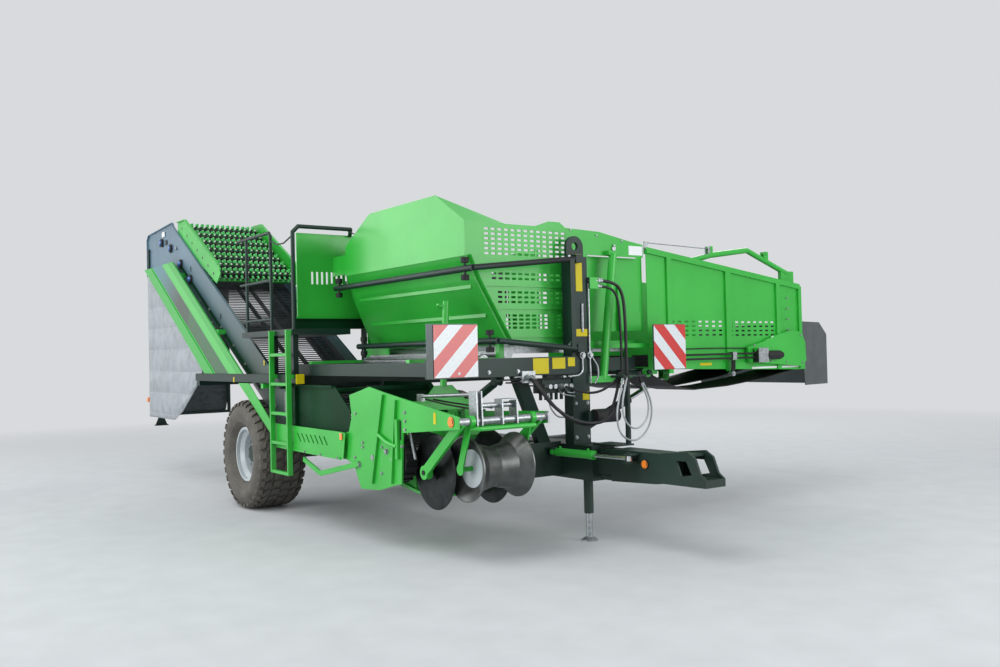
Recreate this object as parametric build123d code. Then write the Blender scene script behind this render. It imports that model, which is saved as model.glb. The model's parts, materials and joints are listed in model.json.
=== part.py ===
from build123d import *
import os
from math import hypot, radians, tan

os.makedirs("parts", exist_ok=True)

# Trailed potato harvester. Millimetres, X forward, Y to the machine's left,
# Z up. Every length below is measured from the ground under the middle of the
# wheel axle; ORIGIN moves the lot so that its box's bottom centre is 0, 0, 0.

# ---- overall ----
WIDTH = 3000.0           # over the right wheel's outer face and its mirror
REAR_X = -4150.0         # rear end of the elevator's walls
TIP_X = 5365.0           # front end of the hitch plate
FLAP_Y = 4050.0          # outer face of the rubber flap on the trough
ORIGIN = ((REAR_X + TIP_X) / 2, (FLAP_Y - WIDTH / 2) / 2, 0.0)
RUN_GAP = 0.6            # bore to shaft, on the diameter
SHEET = 8.0              # usual thickness of the side plates

# ---- wheels ----
WHEEL_D = 1200.0
WHEEL_W = 560.0
RIM_D = 572.0
WHEEL_Y = WIDTH / 2 - WHEEL_W / 2
AXLE_Z = WHEEL_D / 2
HUB_D = 240.0
STUB_D = 100.0

# ---- frame ----
SPINE_Y = 230.0
SPINE_W = 260.0
SPINE_Z = (540.0, 840.0)
SPINE_FRONT = 4100.0
BEAM_X = 3800.0          # front cross beam
BEAM_Z = (1460.0, 1615.0)
RAIL_Y = (1340.0, 1420.0)    # rails over the wheels, either side
RAIL_Z = (1400.0, 1490.0)
BED_RAIL_Z = (1475.0, 1590.0)  # rails under the bunker
POST_Y = (105.0, 300.0)
POST_TOP = 2500.0
BOARD = 423.0            # side of a warning board

# ---- elevator channel ----
CHAN_Y = (-1300.0, -240.0)
SLOPE = 0.575            # fall per length forward
TOP_AT_AXLE = 1840.0     # height of the wall's upper edge over the axle
LOW_AT_AXLE = 1335.0
TOP_X = -2880.0
CHAN_FLOOR = 705.0       # lowest edge of the intake
MAIN_WEB = ((1990.0, 815.0), (1300.0, 850.0), (-2780.0, 3190.0))
MAIN_WEB_R = 90.0
BELT_T = 14.0

# ---- roller bed ----
BED_ROLLERS = 7
BED_FIRST = (-2560.0, 3430.0)
BED_PITCH = 235.0
BED_D = 170.0

# ---- platform ----
PLAT_X = (-10.0, 1380.0)
PLAT_Y = (-1440.0, -800.0)
PLAT_Z = 1950.0
RAIL_TOP = 2985.0
LADDER_X = (900.0, 1326.0)
LADDER_Z = (485.0, 1940.0)
RUNG_PITCH = 298.0

# ---- transfer channel ----
TRANS_X = (-2300.0, 1760.0)
TRANS_Y = (-160.0, 940.0)
TRANS_Z = (2060.0, 2560.0)

# ---- bunker ----
BUNK_X = (1500.0, 3700.0)
BUNK_Y = (-900.0, 1150.0)
BUNK_FOOT_X = 1260.0     # rear wall at the floor
BUNK_FOOT_Y = -470.0     # right wall at the floor
BUNK_Z = (1730.0, 2280.0, 2490.0, 2780.0)  # floor, knee, fold, rim
RIDGE_X = (2030.0, 3250.0)
RIDGE_Z = 3050.0
POCKET_Y = 450.0         # the trough's wall swings in beyond this
POCKET_X = 3600.0
POCKET_Z = 2540.0
HOOD_X = 1180.0
TIE_X = (1340.0, 3560.0)     # posts under the bunker's foot
TIE_STEP_X = 3290.0          # where the front tie meets the right rail

# ---- trough ----
HINGE_Y, HINGE_Z = 1230.0, 1440.0
TROUGH_X = (2110.0, 3660.0)
TROUGH_END = 3560.0
TROUGH_RIB = 22.0
TROUGH_HIGH = ((1230.0, 2650.0), (3560.0, 2345.0))

# ---- digging unit ----
LIFT_X, LIFT_Z = 2300.0, 860.0
UNIT_Y = (-1400.0, -525.0)
PIPE_X, PIPE_Z = 4260.0, 1140.0
DIG_WEB = ((2960.0, 780.0), (LIFT_X, LIFT_Z))
DIG_WEB_R = 80.0
DIG_WEB_Y = (-1290.0, -560.0)
DISC_X, DISC_Z, DISC_D = 3700.0, 710.0, 620.0
DISC_Y = (-1235.0, -690.0)
ROLL_X, ROLL_Z, ROLL_D = 4100.0, 760.0, 520.0
ROLL_Y = (-1205.0, -715.0)
HAULM_X, HAULM_Z, HAULM_D = 3290.0, 790.0, 400.0
HAULM_Y = (-1375.0, -1265.0)
SPINDLE = ((3440.0, -975.0, 1390.0), (3440.0, -930.0, 2110.0))

# ---- drawbar ----
STEER_X, STEER_Y = 4230.0, 230.0
HITCH_X, HITCH_Z = 5280.0, 630.0
JACK_X, JACK_Y, JACK_D = 3930.0, 195.0, 60.0

# ---- cylinders ----
# base pin, rod pin, pin axis, tube diameter, rod diameter, tube length, rod start
STEER_CYL = ((3730.0, -30.0, 780.0), (4620.0, 40.0, 780.0), (0, 0, 1), 70.0, 36.0, 500.0, 250.0)
LIFT_CYL = ((3770.0, -650.0, 1420.0), (3160.0, -650.0, 1130.0), (0, 1, 0), 70.0, 40.0, 400.0, 200.0)
TROUGH_CYL = ((3000.0, 740.0, 800.0), (3000.0, 2100.0, 1370.0), (1, 0, 0), 90.0, 50.0, 900.0, 560.0)
EYE_W = 40.0
EYE_GAP = 5.0
PIN_D = 30.0

# ---- hoses: diameter, then the points that each goes round ----
HOSE_TO_TROUGH = (30.0, [(3880, 400, 2290), (3880, 590, 2290), (3893, 700, 2190), (3902, 712, 1900),
                         (3900, 715, 1650), (3900, 715, 1430)])
HOSE_BESIDE_IT = (24.0, [(3870, 400, 2240), (3870, 560, 2240), (3880, 650, 2150), (3880, 668, 1900),
                         (3885, 670, 1660), (3885, 670, 1430)])
HOSE_FEED = (30.0, [(3900, -430, 1450), (4040, -440, 1410), (4150, -390, 1230), (4200, -190, 1080),
                    (4205, 60, 1035), (4235, 220, 1090), (4300, 290, 1260), (4325, 325, 1430)])
HOSE_RETURN = (26.0, [(3900, -380, 1450), (4000, -385, 1395), (4085, -320, 1220), (4130, -150, 1070),
                      (4135, 70, 1020), (4170, 230, 1075), (4215, 285, 1240), (4232, 320, 1430)])
HOSE_VALVE = (22.0, [(3930, -84, 1360), (4020, -84, 1360), (4090, 30, 1300), (4150, 150, 1300),
                     (4215, 250, 1370), (4262, 290, 1430)])
LOOP_WIDE = (16.0, [(4330, 270, 1430), (4345, 215, 1290), (4352, 160, 1120), (4350, 190, 960),
                    (4345, 320, 880), (4340, 460, 900), (4338, 570, 1010), (4335, 600, 1170),
                    (4332, 540, 1320), (4330, 460, 1430)])
LOOP_NARROW = (16.0, [(4355, 290, 1430), (4368, 240, 1310), (4375, 205, 1180), (4374, 235, 1060),
                      (4370, 330, 985), (4368, 440, 1000), (4366, 520, 1090), (4362, 530, 1220),
                      (4358, 470, 1340), (4356, 430, 1430)])


# ------------------------------------------------------------------ helpers
def block(x0, x1, y0, y1, z0, z1):
    """Box between two corners."""
    size = (abs(x1 - x0), abs(y1 - y0), abs(z1 - z0))
    return Pos((x0 + x1) / 2, (y0 + y1) / 2, (z0 + z1) / 2) * Box(*size)


def plate_xz(points, y0, y1):
    face = make_face(Polyline(*[(x, y0, z) for x, z in points], close=True))
    return extrude(face, amount=y1 - y0, dir=(0, 1, 0))


def plate_yz(points, x0, x1):
    face = make_face(Polyline(*[(x0, y, z) for y, z in points], close=True))
    return extrude(face, amount=x1 - x0, dir=(1, 0, 0))


def plate_xy(points, z0, z1):
    face = make_face(Polyline(*[(x, y, z0) for x, y in points], close=True))
    return extrude(face, amount=z1 - z0, dir=(0, 0, 1))


def slotted_yz(points, slots, x0, x1):
    """Plate across the machine, with slots given as (y, z, width, height)."""
    face = make_face(Polyline(*[(x0, y, z) for y, z in points], close=True))
    frame = Plane(origin=(x0, 0, 0), x_dir=(0, 1, 0), z_dir=(1, 0, 0))
    holes = [frame * Pos(y, z) * Rectangle(w, h) for y, z, w, h in slots]
    return extrude(face - holes, amount=x1 - x0, dir=(1, 0, 0))


def rows_of_slots(y0, y1, z_top, rows, pitch=(70.0, 42.0), size=(46.0, 20.0)):
    """Slots of a perforated field: columns from y0 to y1, rows down from z_top."""
    columns = int((y1 - y0) / pitch[0]) + 1
    return [(y0 + c * pitch[0], z_top - r * pitch[1], *size)
            for c in range(columns) for r in range(rows)]


def sheet_outline(points, t):
    """Closed outline of a folded sheet: the line itself and a copy t to its left."""
    inner = []
    for i, (a, b) in enumerate(points):
        normals = []
        for p, q in zip(points[max(i - 1, 0):i + 1], points[max(i - 1, 0) + 1:i + 2]):
            run = hypot(q[0] - p[0], q[1] - p[1])
            normals.append(((p[1] - q[1]) / run, (q[0] - p[0]) / run))
        n = (sum(v[0] for v in normals) / len(normals), sum(v[1] for v in normals) / len(normals))
        k = t / (n[0] ** 2 + n[1] ** 2)
        inner.append((a + n[0] * k, b + n[1] * k))
    return points + inner[::-1]


def bar(p, q, d):
    """Round bar from p to q."""
    p, q = Vector(*p), Vector(*q)
    ends = (Align.CENTER, Align.CENTER, Align.MIN)
    return Plane(origin=p, z_dir=q - p) * Cylinder(d / 2, (q - p).length, align=ends)


def beam(p, q, w, h):
    """Square bar from p to q, w wide across the machine and h high."""
    p, q = Vector(*p), Vector(*q)
    axis = q - p
    side = Vector(0, 1, 0) if abs(axis.Y) < 0.9 * axis.length else Vector(1, 0, 0)
    plane = Plane(origin=p, x_dir=side, z_dir=axis)
    return plane * Box(w, h, axis.length, align=(Align.CENTER, Align.CENTER, Align.MIN))


def cyl_x(y, z, d, x0, x1):
    return bar((min(x0, x1), y, z), (max(x0, x1), y, z), d)


def cyl_y(x, z, d, y0, y1):
    return bar((x, min(y0, y1), z), (x, max(y0, y1), z), d)


def cyl_z(x, y, d, z0, z1):
    return bar((x, y, min(z0, z1)), (x, y, max(z0, z1)), d)


def ring_x(y, z, outer, inner, x0, x1):
    return cyl_x(y, z, outer, x0, x1) - cyl_x(y, z, inner, min(x0, x1) - 1, max(x0, x1) + 1)


def ring_y(x, z, outer, inner, y0, y1):
    return cyl_y(x, z, outer, y0, y1) - cyl_y(x, z, inner, min(y0, y1) - 1, max(y0, y1) + 1)


def tube_run(points, d):
    """Round tube through the points, with balls at its knees."""
    shape = bar(points[0], points[1], d)
    for p, q in zip(points[1:], points[2:]):
        shape += Pos(*p) * Sphere(d / 2)
        shape += bar(p, q, d)
    return shape


def turned(profile, x, y, z):
    """Solid of revolution about the Y axis through a point; profile is (radius, y)."""
    face = make_face(Polyline(*[(r, a, 0) for r, a in profile], close=True))
    return Pos(x, y, z) * revolve(face, Axis.Y)


# ------------------------------------------------------------------- wheels
def tyre(side):
    """Carcass with a round shoulder and thin walls, open at the beads."""
    outer, inner, half = WHEEL_D / 2, RIM_D / 2 + 0.3, WHEEL_W / 2
    bead = half - 92
    skin = [(inner, bead), (inner + 22, bead), (inner + 60, half - 30), (outer - 130, half),
            (outer - 60, half - 20), (outer, half - 90)]
    lining = [(inner, bead - 30), (inner + 60, half - 60), (outer - 110, half - 40),
              (outer - 60, half - 110), (outer - 50, 0)]
    profile = skin + [(r, -y) for r, y in skin[::-1]] + [(r, -y) for r, y in lining[:-1]]
    return turned(profile + lining[::-1], 0, side * WHEEL_Y, AXLE_Z)


def rim(side):
    """Drop-centre rim, flange to flange, with a dished disc and a hub."""
    r, half = RIM_D / 2, WHEEL_W / 2 - 92
    lip = [(r, half), (r + 15, half), (r + 15, half + 16), (r - 12, half + 16), (r - 12, half - 20),
           (r - 50, half - 60)]
    well = lip[3:] + [(r - 50, -half + 60), (r - 12, -half + 20), (r - 12, -half - 16)]
    outer = [(r + 15, -half - 16), (r + 15, -half), (r, -half), (r, -half + 30),
             (r - 38, -half + 68), (r - 38, half - 68), (r, half - 30), (r, half), (r + 15, half),
             (r + 15, half + 16)]
    shape = turned(well + outer, 0, 0, 0)
    bore = STUB_D + RUN_GAP
    dish = side * 40
    shape += ring_y(0, 0, RIM_D - 92, bore, dish - 6, dish + 6)
    shape += ring_y(0, 0, HUB_D, bore, -110, 110)
    for k in range(10):
        shape -= Rot(0, 36 * k, 0) * cyl_y(180, 0, 40, dish - 10, dish + 10)
    return Pos(0, side * WHEEL_Y, AXLE_Z) * shape


def axle_beam():
    """Square axle with stubs and the caps that keep the hubs on."""
    inner = WHEEL_Y - 200
    shape = block(-80, 80, -inner, inner, AXLE_Z - 80, AXLE_Z + 80)
    for side in (-1, 1):
        shape += cyl_y(0, AXLE_Z, STUB_D, side * inner, side * (WHEEL_Y + 130))
        shape += cyl_y(0, AXLE_Z, 190, side * (WHEEL_Y + 112), side * (WHEEL_Y + 130))
    return shape


# -------------------------------------------------------------------- frame
def cylinder_brackets():
    y0, y1 = SPINE_Y - SPINE_W / 2, SPINE_Y + SPINE_W / 2
    shape = ears(*STEER_CYL) + ears(*LIFT_CYL) + ears(*TROUGH_CYL)
    sx, sy, sz = STEER_CYL[0]
    for z in (sz + EYE_W / 2 + EYE_GAP, sz - EYE_W / 2 - EYE_GAP - 12):
        shape += block(sx - 50, sx, sy - 38, sy + 38, z, z + 12)
    lx, ly, lz = LIFT_CYL[0]
    shape += block(lx - 40, lx + 60, ly - 40, ly + 40, lz + 34, BEAM_Z[0])
    for y in (ly - EYE_W / 2 - EYE_GAP - 12, ly + EYE_W / 2 + EYE_GAP):
        shape += block(lx - 30, lx + 30, y, y + 12, lz, lz + 36)
    tx, ty, tz = TROUGH_CYL[0]
    shape += block(tx - 60, tx + 60, y1, ty - 50, tz - 40, SPINE_Z[1] - 5)
    for x in (tx - EYE_W / 2 - EYE_GAP - 12, tx + EYE_W / 2 + EYE_GAP):
        shape += block(x, x + 12, ty - 50, ty, tz - 38, tz + 38)
    return shape


def main_frame():
    y0, y1 = SPINE_Y - SPINE_W / 2, SPINE_Y + SPINE_W / 2
    shape = block(80, SPINE_FRONT, y0, y1, *SPINE_Z)
    shape += block(3560, 3680, -250, y0, SPINE_Z[0] + 20, SPINE_Z[1] + 20)
    # front cross beam, the post that carries the lifting eye, and the strut
    shape += block(BEAM_X - 70, BEAM_X + 70, -1330, POST_Y[1], *BEAM_Z)
    shape += block(BEAM_X - 60, BEAM_X + 60, *POST_Y, SPINE_Z[1], POST_TOP)
    shape += beam((BEAM_X, -470, BEAM_Z[0] + 30), (3625, -60, SPINE_Z[1]), 110, 90)
    # rails over the wheels and under the bunker
    for side in (-1, 1):
        shape += block(-1700, 1400, side * RAIL_Y[0], side * RAIL_Y[1], *RAIL_Z)
    shape += block(960, BEAM_X - 70, -1250, -1170, *BED_RAIL_Z)
    shape += block(960, 3640, 990, 1070, *BED_RAIL_Z)
    shape += block(3540, 3640, POST_Y[0], 1070, *BED_RAIL_Z)
    shape += block(3640, BEAM_X - 60, *POST_Y, *BED_RAIL_Z)
    # cross members and uprights
    for x in (-1600, 960):
        shape += block(x - 50, x + 50, -RAIL_Y[1], RAIL_Y[1], RAIL_Z[0] - 60, RAIL_Z[0])
    shape += block(910, 1010, -1250, 1070, RAIL_Z[0], BED_RAIL_Z[1])
    shape += block(910, 1010, y0, y1, SPINE_Z[1], RAIL_Z[0])
    shape += block(260, 360, CHAN_Y[1], y1, *RAIL_Z)
    shape += block(260, 360, y0, y1, SPINE_Z[1], RAIL_Z[0])
    for x in (-150, 470):
        shape += block(x, x + 80, -RAIL_Y[0] - 5, CHAN_Y[0], *RAIL_Z)
    shape += beam((-1600, SPINE_Y, RAIL_Z[0] - 30), (110, SPINE_Y, AXLE_Z + 180), 160, 120)
    # jack sleeve, bored up through the spine
    shape += cyl_z(JACK_X, JACK_Y, 84, 240, SPINE_Z[0])
    shape -= cyl_z(JACK_X, JACK_Y, JACK_D + RUN_GAP, 230, SPINE_Z[1] - 10)
    shape += cylinder_brackets()
    return shape + lifting_eye() + front_stay()


def lifting_eye():
    """Rounded plate with a hole on top of the post."""
    y = sum(POST_Y) / 2
    plate = block(BEAM_X - 15, BEAM_X + 15, *POST_Y, POST_TOP, POST_TOP + 90)
    plate += cyl_x(y, POST_TOP + 90, POST_Y[1] - POST_Y[0], BEAM_X - 15, BEAM_X + 15)
    return plate - cyl_x(y, POST_TOP + 95, 70, BEAM_X - 30, BEAM_X + 30)


def pivot_pins():
    """The fixed shafts that other bodies turn on: steering, digging unit, trough."""
    shape = cyl_z(STEER_X, STEER_Y, 70, 555, 825)
    shape += block(SPINE_FRONT, STEER_X + 60, STEER_Y - 80, STEER_Y + 80, 600, 780)
    shaft = cyl_y(LIFT_X, LIFT_Z, 60, UNIT_Y[0] - 25, 100)
    shaft += cyl_y(LIFT_X, LIFT_Z, 110, CHAN_Y[1] + 8, 100)
    hinge = cyl_x(HINGE_Y, HINGE_Z, 50, TROUGH_X[0] - 60, TROUGH_X[1] + 20)
    for x in (TROUGH_X[0] + 100, TROUGH_X[1] - 200):
        hinge += block(x, x + 100, 990, HINGE_Y, HINGE_Z - 30, HINGE_Z + 30)
        hinge += block(x, x + 100, 990, 1070, HINGE_Z + 30, BED_RAIL_Z[0])
    return Compound(children=[shape, shaft, hinge])


# ------------------------------------------------------------------ channel
def chan_top(x):
    return TOP_AT_AXLE - SLOPE * x


def chan_low(x):
    return LOW_AT_AXLE - SLOPE * x


def channel_side(y0, y1):
    foot = (LOW_AT_AXLE - CHAN_FLOOR) / SLOPE
    outline = [(REAR_X, 2900), (REAR_X, 3440), (REAR_X + 70, 3510), (TOP_X - 60, 3560),
               (TOP_X, chan_top(TOP_X)), (1500, chan_top(1500)), (2150, 960), (2150, CHAN_FLOOR),
               (foot, CHAN_FLOOR), (-2600, chan_low(-2600))]
    return plate_xz(outline, y0, y1)


def web_channel():
    """Both walls of the elevator, their edge flanges, bearings and cross tubes."""
    a, b = CHAN_Y
    shape = channel_side(a, a + SHEET) + channel_side(b - SHEET, b)
    for x, z in (MAIN_WEB[0], MAIN_WEB[2]):
        shape -= cyl_y(x, z, 50 + RUN_GAP, a - 5, b + 5)
    # folded edge along the upper rim of each wall
    rim_line = [(REAR_X, 2900), (REAR_X, 3440), (REAR_X + 70, 3510), (TOP_X - 60, 3560),
                (TOP_X, chan_top(TOP_X)), (1000, chan_top(1000))]
    flange = sheet_outline(rim_line[::-1], 10.0)
    shape += plate_xz(flange, a - 22, a) + plate_xz(flange, b, b + 22)
    for x in (-3600, -2400, -1000, 400):
        z = chan_low(x) + 60 if x > -2600 else 2960
        shape += cyl_y(x, z, 60, a, b)
    # idler bearings on the right wall: x, z
    for x, z in ((-3530, 3330), (-2630, 2960), (-2250, 2720)):
        shape += cyl_y(x, z, 90, a - 24, a)
    return shape


def web_loop(radius, y0, y1):
    """Volume swept by the web's loop round its low roller, knee and top roller."""
    shape = None
    for a, b in zip(MAIN_WEB, MAIN_WEB[1:]):
        piece = stadium(a, b, radius, y0, y1)
        shape = piece if shape is None else shape + piece
    return shape


def stadium(a, b, radius, y0, y1):
    run = hypot(b[0] - a[0], b[1] - a[1])
    n = (-(b[1] - a[1]) / run * radius, (b[0] - a[0]) / run * radius)
    sides = [(a[0] + n[0], a[1] + n[1]), (b[0] + n[0], b[1] + n[1]),
             (b[0] - n[0], b[1] - n[1]), (a[0] - n[0], a[1] - n[1])]
    ends = cyl_y(*a, 2 * radius, y0, y1) + cyl_y(*b, 2 * radius, y0, y1)
    return plate_xz(sides, y0, y1) + ends


def main_web():
    y0, y1 = CHAN_Y[0] + 20, CHAN_Y[1] - 20
    return web_loop(MAIN_WEB_R + BELT_T, y0, y1) - web_loop(MAIN_WEB_R, y0 - 5, y1 + 5)


def web_roller(centre):
    y0, y1 = CHAN_Y
    shape = cyl_y(*centre, 2 * MAIN_WEB_R - RUN_GAP, y0 + 22, y1 - 22)
    return shape + cyl_y(*centre, 50, y0 - 20, y1 + 20)


# --------------------------------------------------------------- roller bed
def bed_axis(i):
    step = BED_PITCH * i / hypot(1, SLOPE)
    return BED_FIRST[0] + step, BED_FIRST[1] - SLOPE * step


def roller_bed_frame():
    """Two bearing plates with their ties; the rollers' stubs run in the bores."""
    y0, y1 = CHAN_Y[0] + SHEET, CHAN_Y[1] - SHEET
    xa, za = bed_axis(0)
    xb, zb = bed_axis(BED_ROLLERS - 1)
    outline = [(xa - 180, za + 110), (xa + 160, za + 105), (xb + 190, zb + 100), (xb + 230, zb - 30),
               (xb + 100, zb - 130), (xa, za - 170), (xa - 180, za - 60)]
    shape = None
    for y in (y0, y1 - 10):
        side = plate_xz(outline, y, y + 10)
        lip = sheet_outline([outline[2], outline[1], outline[0]], 8.0)
        side += plate_xz(lip, *((y - 26, y) if y == y0 else (y + 10, y + 36)))
        for i in range(BED_ROLLERS):
            side -= cyl_y(*bed_axis(i), 40 + RUN_GAP, y - 5, y + 15)
        shape = side if shape is None else shape + side
    for i in (0.5, BED_ROLLERS - 1.5):
        x, z = bed_axis(i)
        shape += cyl_y(x, z - 135, 30, y0, y1)
    return shape


def bed_roller(i):
    """Shaft, tube and nine ribbed discs."""
    x, z = bed_axis(i)
    y0, y1 = CHAN_Y[0] + SHEET, CHAN_Y[1] - SHEET
    shape = cyl_y(x, z, 40, y0, y1) + cyl_y(x, z, 80, y0 + 40, y1 - 40)
    pitch = (y1 - y0 - 120) / 8
    for k in range(9):
        y = y0 + 60 + k * pitch
        shape += cyl_y(x, z, BED_D, y - 18, y + 18)
    return shape


# ----------------------------------------------------------------- platform
def platform():
    """Tray with raised edges on two legs that stand on the right rail."""
    shape = block(*PLAT_X, *PLAT_Y, PLAT_Z - 60, PLAT_Z)
    shape -= block(PLAT_X[0] + 12, PLAT_X[1] - 12, PLAT_Y[0] + 12, PLAT_Y[1] - 12, PLAT_Z - 12, PLAT_Z + 5)
    for x in (700, 1220):
        shape += block(x, x + 80, -1400, -1345, RAIL_Z[1], PLAT_Z - 60)
    return shape


def railing():
    y = PLAT_Y[0] + 34
    posts = (80, 770, 1345)
    top, z = RAIL_TOP, PLAT_Z - 12
    left = tube_run([(posts[0], y, z), (posts[0], y, top)], 34)
    left += tube_run([(posts[1], y, z), (posts[1], y, top - 40), (posts[1] - 40, y, top), (-180, y, top)], 34)
    for height in (2480, 2070):
        left += tube_run([(-100, y, height), (posts[1], y, height)], 30)
    right = tube_run([(posts[2], y, z), (posts[2], y, top - 60), (posts[2], y + 60, top),
                      (posts[2], -760, top), (HOOD_X + 30, -700, top - 45)], 42)
    # sagging chain between the posts: distance along, drop
    chain = [(posts[1] + (posts[2] - posts[1]) * s, y, top - 90 - drop)
             for s, drop in ((0, 0), (0.3, 55), (0.6, 60), (1, 0))]
    return left + right + tube_run(chain, 16)


def ladder():
    """Two channel rails and rungs."""
    y0, y1 = -WIDTH / 2, -WIDTH / 2 + 50
    shape = None
    for x in LADDER_X:
        rail = block(x, x + 26, y0, y1, *LADDER_Z)
        shape = rail if shape is None else shape + rail
    for k in range(5):
        z = LADDER_Z[0] + 15 + k * RUNG_PITCH
        shape += block(LADDER_X[0] + 26, LADDER_X[1], y0 + 4, y1 - 4, z - 15, z + 15)
    for x in LADDER_X:
        shape += block(x, x + 26, y1, -RAIL_Y[1], RAIL_Z[1] - 40, RAIL_Z[1])
        shape += block(x, x + 26, y1, PLAT_Y[0], PLAT_Z - 50, PLAT_Z - 10)
    return shape


# ----------------------------------------------------------------- transfer
def transfer_channel():
    x0, x1 = TRANS_X
    y0, y1 = TRANS_Y
    shape = block(x0, x1, y0, y0 + 10, *TRANS_Z) + block(x0, x1, y1 - 10, y1, *TRANS_Z)
    shape += block(x0, x0 + 10, y0, y1, *TRANS_Z)
    for x in (-2000, -800, 400, 1450):
        shape += block(x - 30, x + 30, y0, y1, TRANS_Z[0], TRANS_Z[0] + 60)
    for x, foot in ((-1600, RAIL_Z[0]), (960, BED_RAIL_Z[1])):
        for y in (y0, y1 - 60):
            shape += block(x - 30, x + 30, y, y + 60, foot, TRANS_Z[0])
    return shape


def transfer_belt():
    """Closed belt on two fixed drums."""
    y0, y1 = TRANS_Y[0] + 20, TRANS_Y[1] - 20
    z = TRANS_Z[0] + 60 + 60
    a, b = (TRANS_X[0] + 120, z), (TRANS_X[1] - 40, z)
    shape = stadium(a, b, 60, y0, y1) - stadium(a, b, 52, y0 - 5, y1 + 5)
    for x in (a[0], b[0]):
        shape += cyl_y(x, z, 105, y0, y1)
    return shape


# ------------------------------------------------------------------- bunker
def bunker_section():
    """Inside outline of the load space, across the machine."""
    zb, zk, zf, zt = BUNK_Z
    return [(BUNK_Y[0], zt), (BUNK_Y[0], zf), (BUNK_Y[0] + 100, zk), (BUNK_FOOT_Y, zb)]


def bunker():
    """Open tub of folded sheet: raised right wall, slotted front, window at the rear."""
    x0, x1 = BUNK_X
    zb, zk, zf, zt = BUNK_Z
    t = SHEET
    right = [(BUNK_Y[0], RIDGE_Z)] + bunker_section()[1:]
    wall = plate_yz(sheet_outline(right, t), BUNK_FOOT_X, x1)
    side_view = [(BUNK_FOOT_X, zb), (x0, zf), (x0, zt), (RIDGE_X[0], RIDGE_Z), (RIDGE_X[1], RIDGE_Z),
                 (x1, zt), (x1, zb)]
    shape = wall & plate_xz(side_view, BUNK_Y[0] - 5, BUNK_Y[1])
    # rear wall leans back below the fold, with a window for the transfer belt
    space = plate_yz([(BUNK_Y[1], zb)] + bunker_section()[::-1] + [(BUNK_Y[1], zt)], BUNK_FOOT_X, x1)
    rear = plate_xz(sheet_outline([(BUNK_FOOT_X, zb), (x0, zf), (x0, zt)], -t), *BUNK_Y) & space
    shape += rear - block(BUNK_FOOT_X, x0 + 20, TRANS_Y[0] - 10, TRANS_Y[1] + 10, TRANS_Z[0] - 10, zt + 5)
    shape += block(x0, TROUGH_X[0] - TROUGH_RIB - 8, BUNK_Y[1] - t, BUNK_Y[1], zb, zt)
    shape += bunker_front() + bunker_facets() + bunker_ribs()
    return shape + skirt()


def bunker_front():
    x1, t = BUNK_X[1], SHEET
    zb, zk, zf, zt = BUNK_Z
    outline = bunker_section()[::-1] + [(-480, zt - 10), (-150, zt - 10), (0, zt + 40), (130, zt + 40),
                                        (190, zt - 5), (600, zt - 20), (980, 2690), (BUNK_Y[1], 2665),
                                        (BUNK_Y[1], POCKET_Z), (POCKET_Y, POCKET_Z), (POCKET_Y, zb)]
    # slotted fields of the front wall: first and last column, top row, rows
    slots = (rows_of_slots(-675, 180, 2720, 6) + rows_of_slots(-605, 180, 2340, 2)
             + rows_of_slots(-545, 180, 2180, 3) + rows_of_slots(-465, 180, 1980, 4, pitch=(70, 35)))
    shape = slotted_yz(outline, slots, x1 - t, x1)
    # set-back wall of the pocket, with its two steps
    shape += block(POCKET_X, x1, POCKET_Y - t, POCKET_Y, zb, POCKET_Z)
    shape += block(POCKET_X, POCKET_X + t, POCKET_Y, BUNK_Y[1], zb + 110, POCKET_Z)
    shape += block(POCKET_X + t, POCKET_X + 30, 880, BUNK_Y[1], zb + 110, 2260)
    shape += block(POCKET_X + 30, POCKET_X + 50, 880, BUNK_Y[1], zb + 110, 2020)
    return shape + block(POCKET_X, POCKET_X + 50, POCKET_Y, BUNK_Y[1], zb - 50, zb + 20)


def bunker_facets():
    """Triangles that close the corners between the raised wall and the end walls."""
    x0, x1 = BUNK_X
    y, zt = BUNK_Y[0], BUNK_Z[3] - 10
    front = [(RIDGE_X[1], y, RIDGE_Z), (x1, y, zt), (x1, y + 420, zt)]
    rear = [(RIDGE_X[0], y, RIDGE_Z), (x0, y, zt), (x0, y + 420, zt)]
    shape = None
    for corners in (front, rear):
        face = make_face(Polyline(*corners, close=True))
        plate = extrude(face, amount=SHEET, dir=(0, 0, -1))
        shape = plate if shape is None else shape + plate
    return shape


def bunker_ribs():
    """Folds pressed into the right wall and ribs across the front."""
    x0, x1 = BUNK_X
    shape = None
    # height, rear end, front end of each fold in the right wall
    for z, xa, xb in ((2500, x0, x1), (2235, 1560, 3600), (1990, 1520, 3600)):
        y = wall_y(z)
        rib = beam((xa, y, z), (xb, y, z), 12, 40)
        shape = rib if shape is None else shape + rib
    for z in (2240, 2045, 1800):
        shape += block(x1, x1 + 12, wall_y(z) + 60, POCKET_Y, z - 10, z + 10)
    # flat borders of the front's slanted edge
    for za, zb in ((2490, 2280), (2280, 1740)):
        a, b = (x1 + 4, wall_y(za) + 40, za), (x1 + 4, wall_y(zb) + 40, zb)
        shape += beam(a, b, 8, 75)
    return shape


def wall_y(z):
    """Y of the right wall at a height."""
    zb, zk, zf, zt = BUNK_Z
    if z >= zf:
        return BUNK_Y[0]
    if z >= zk:
        return BUNK_Y[0] + 100 * (zf - z) / (zf - zk)
    return BUNK_Y[0] + 100 + (BUNK_FOOT_Y - BUNK_Y[0] - 100) * (zk - z) / (zk - zb)


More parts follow.
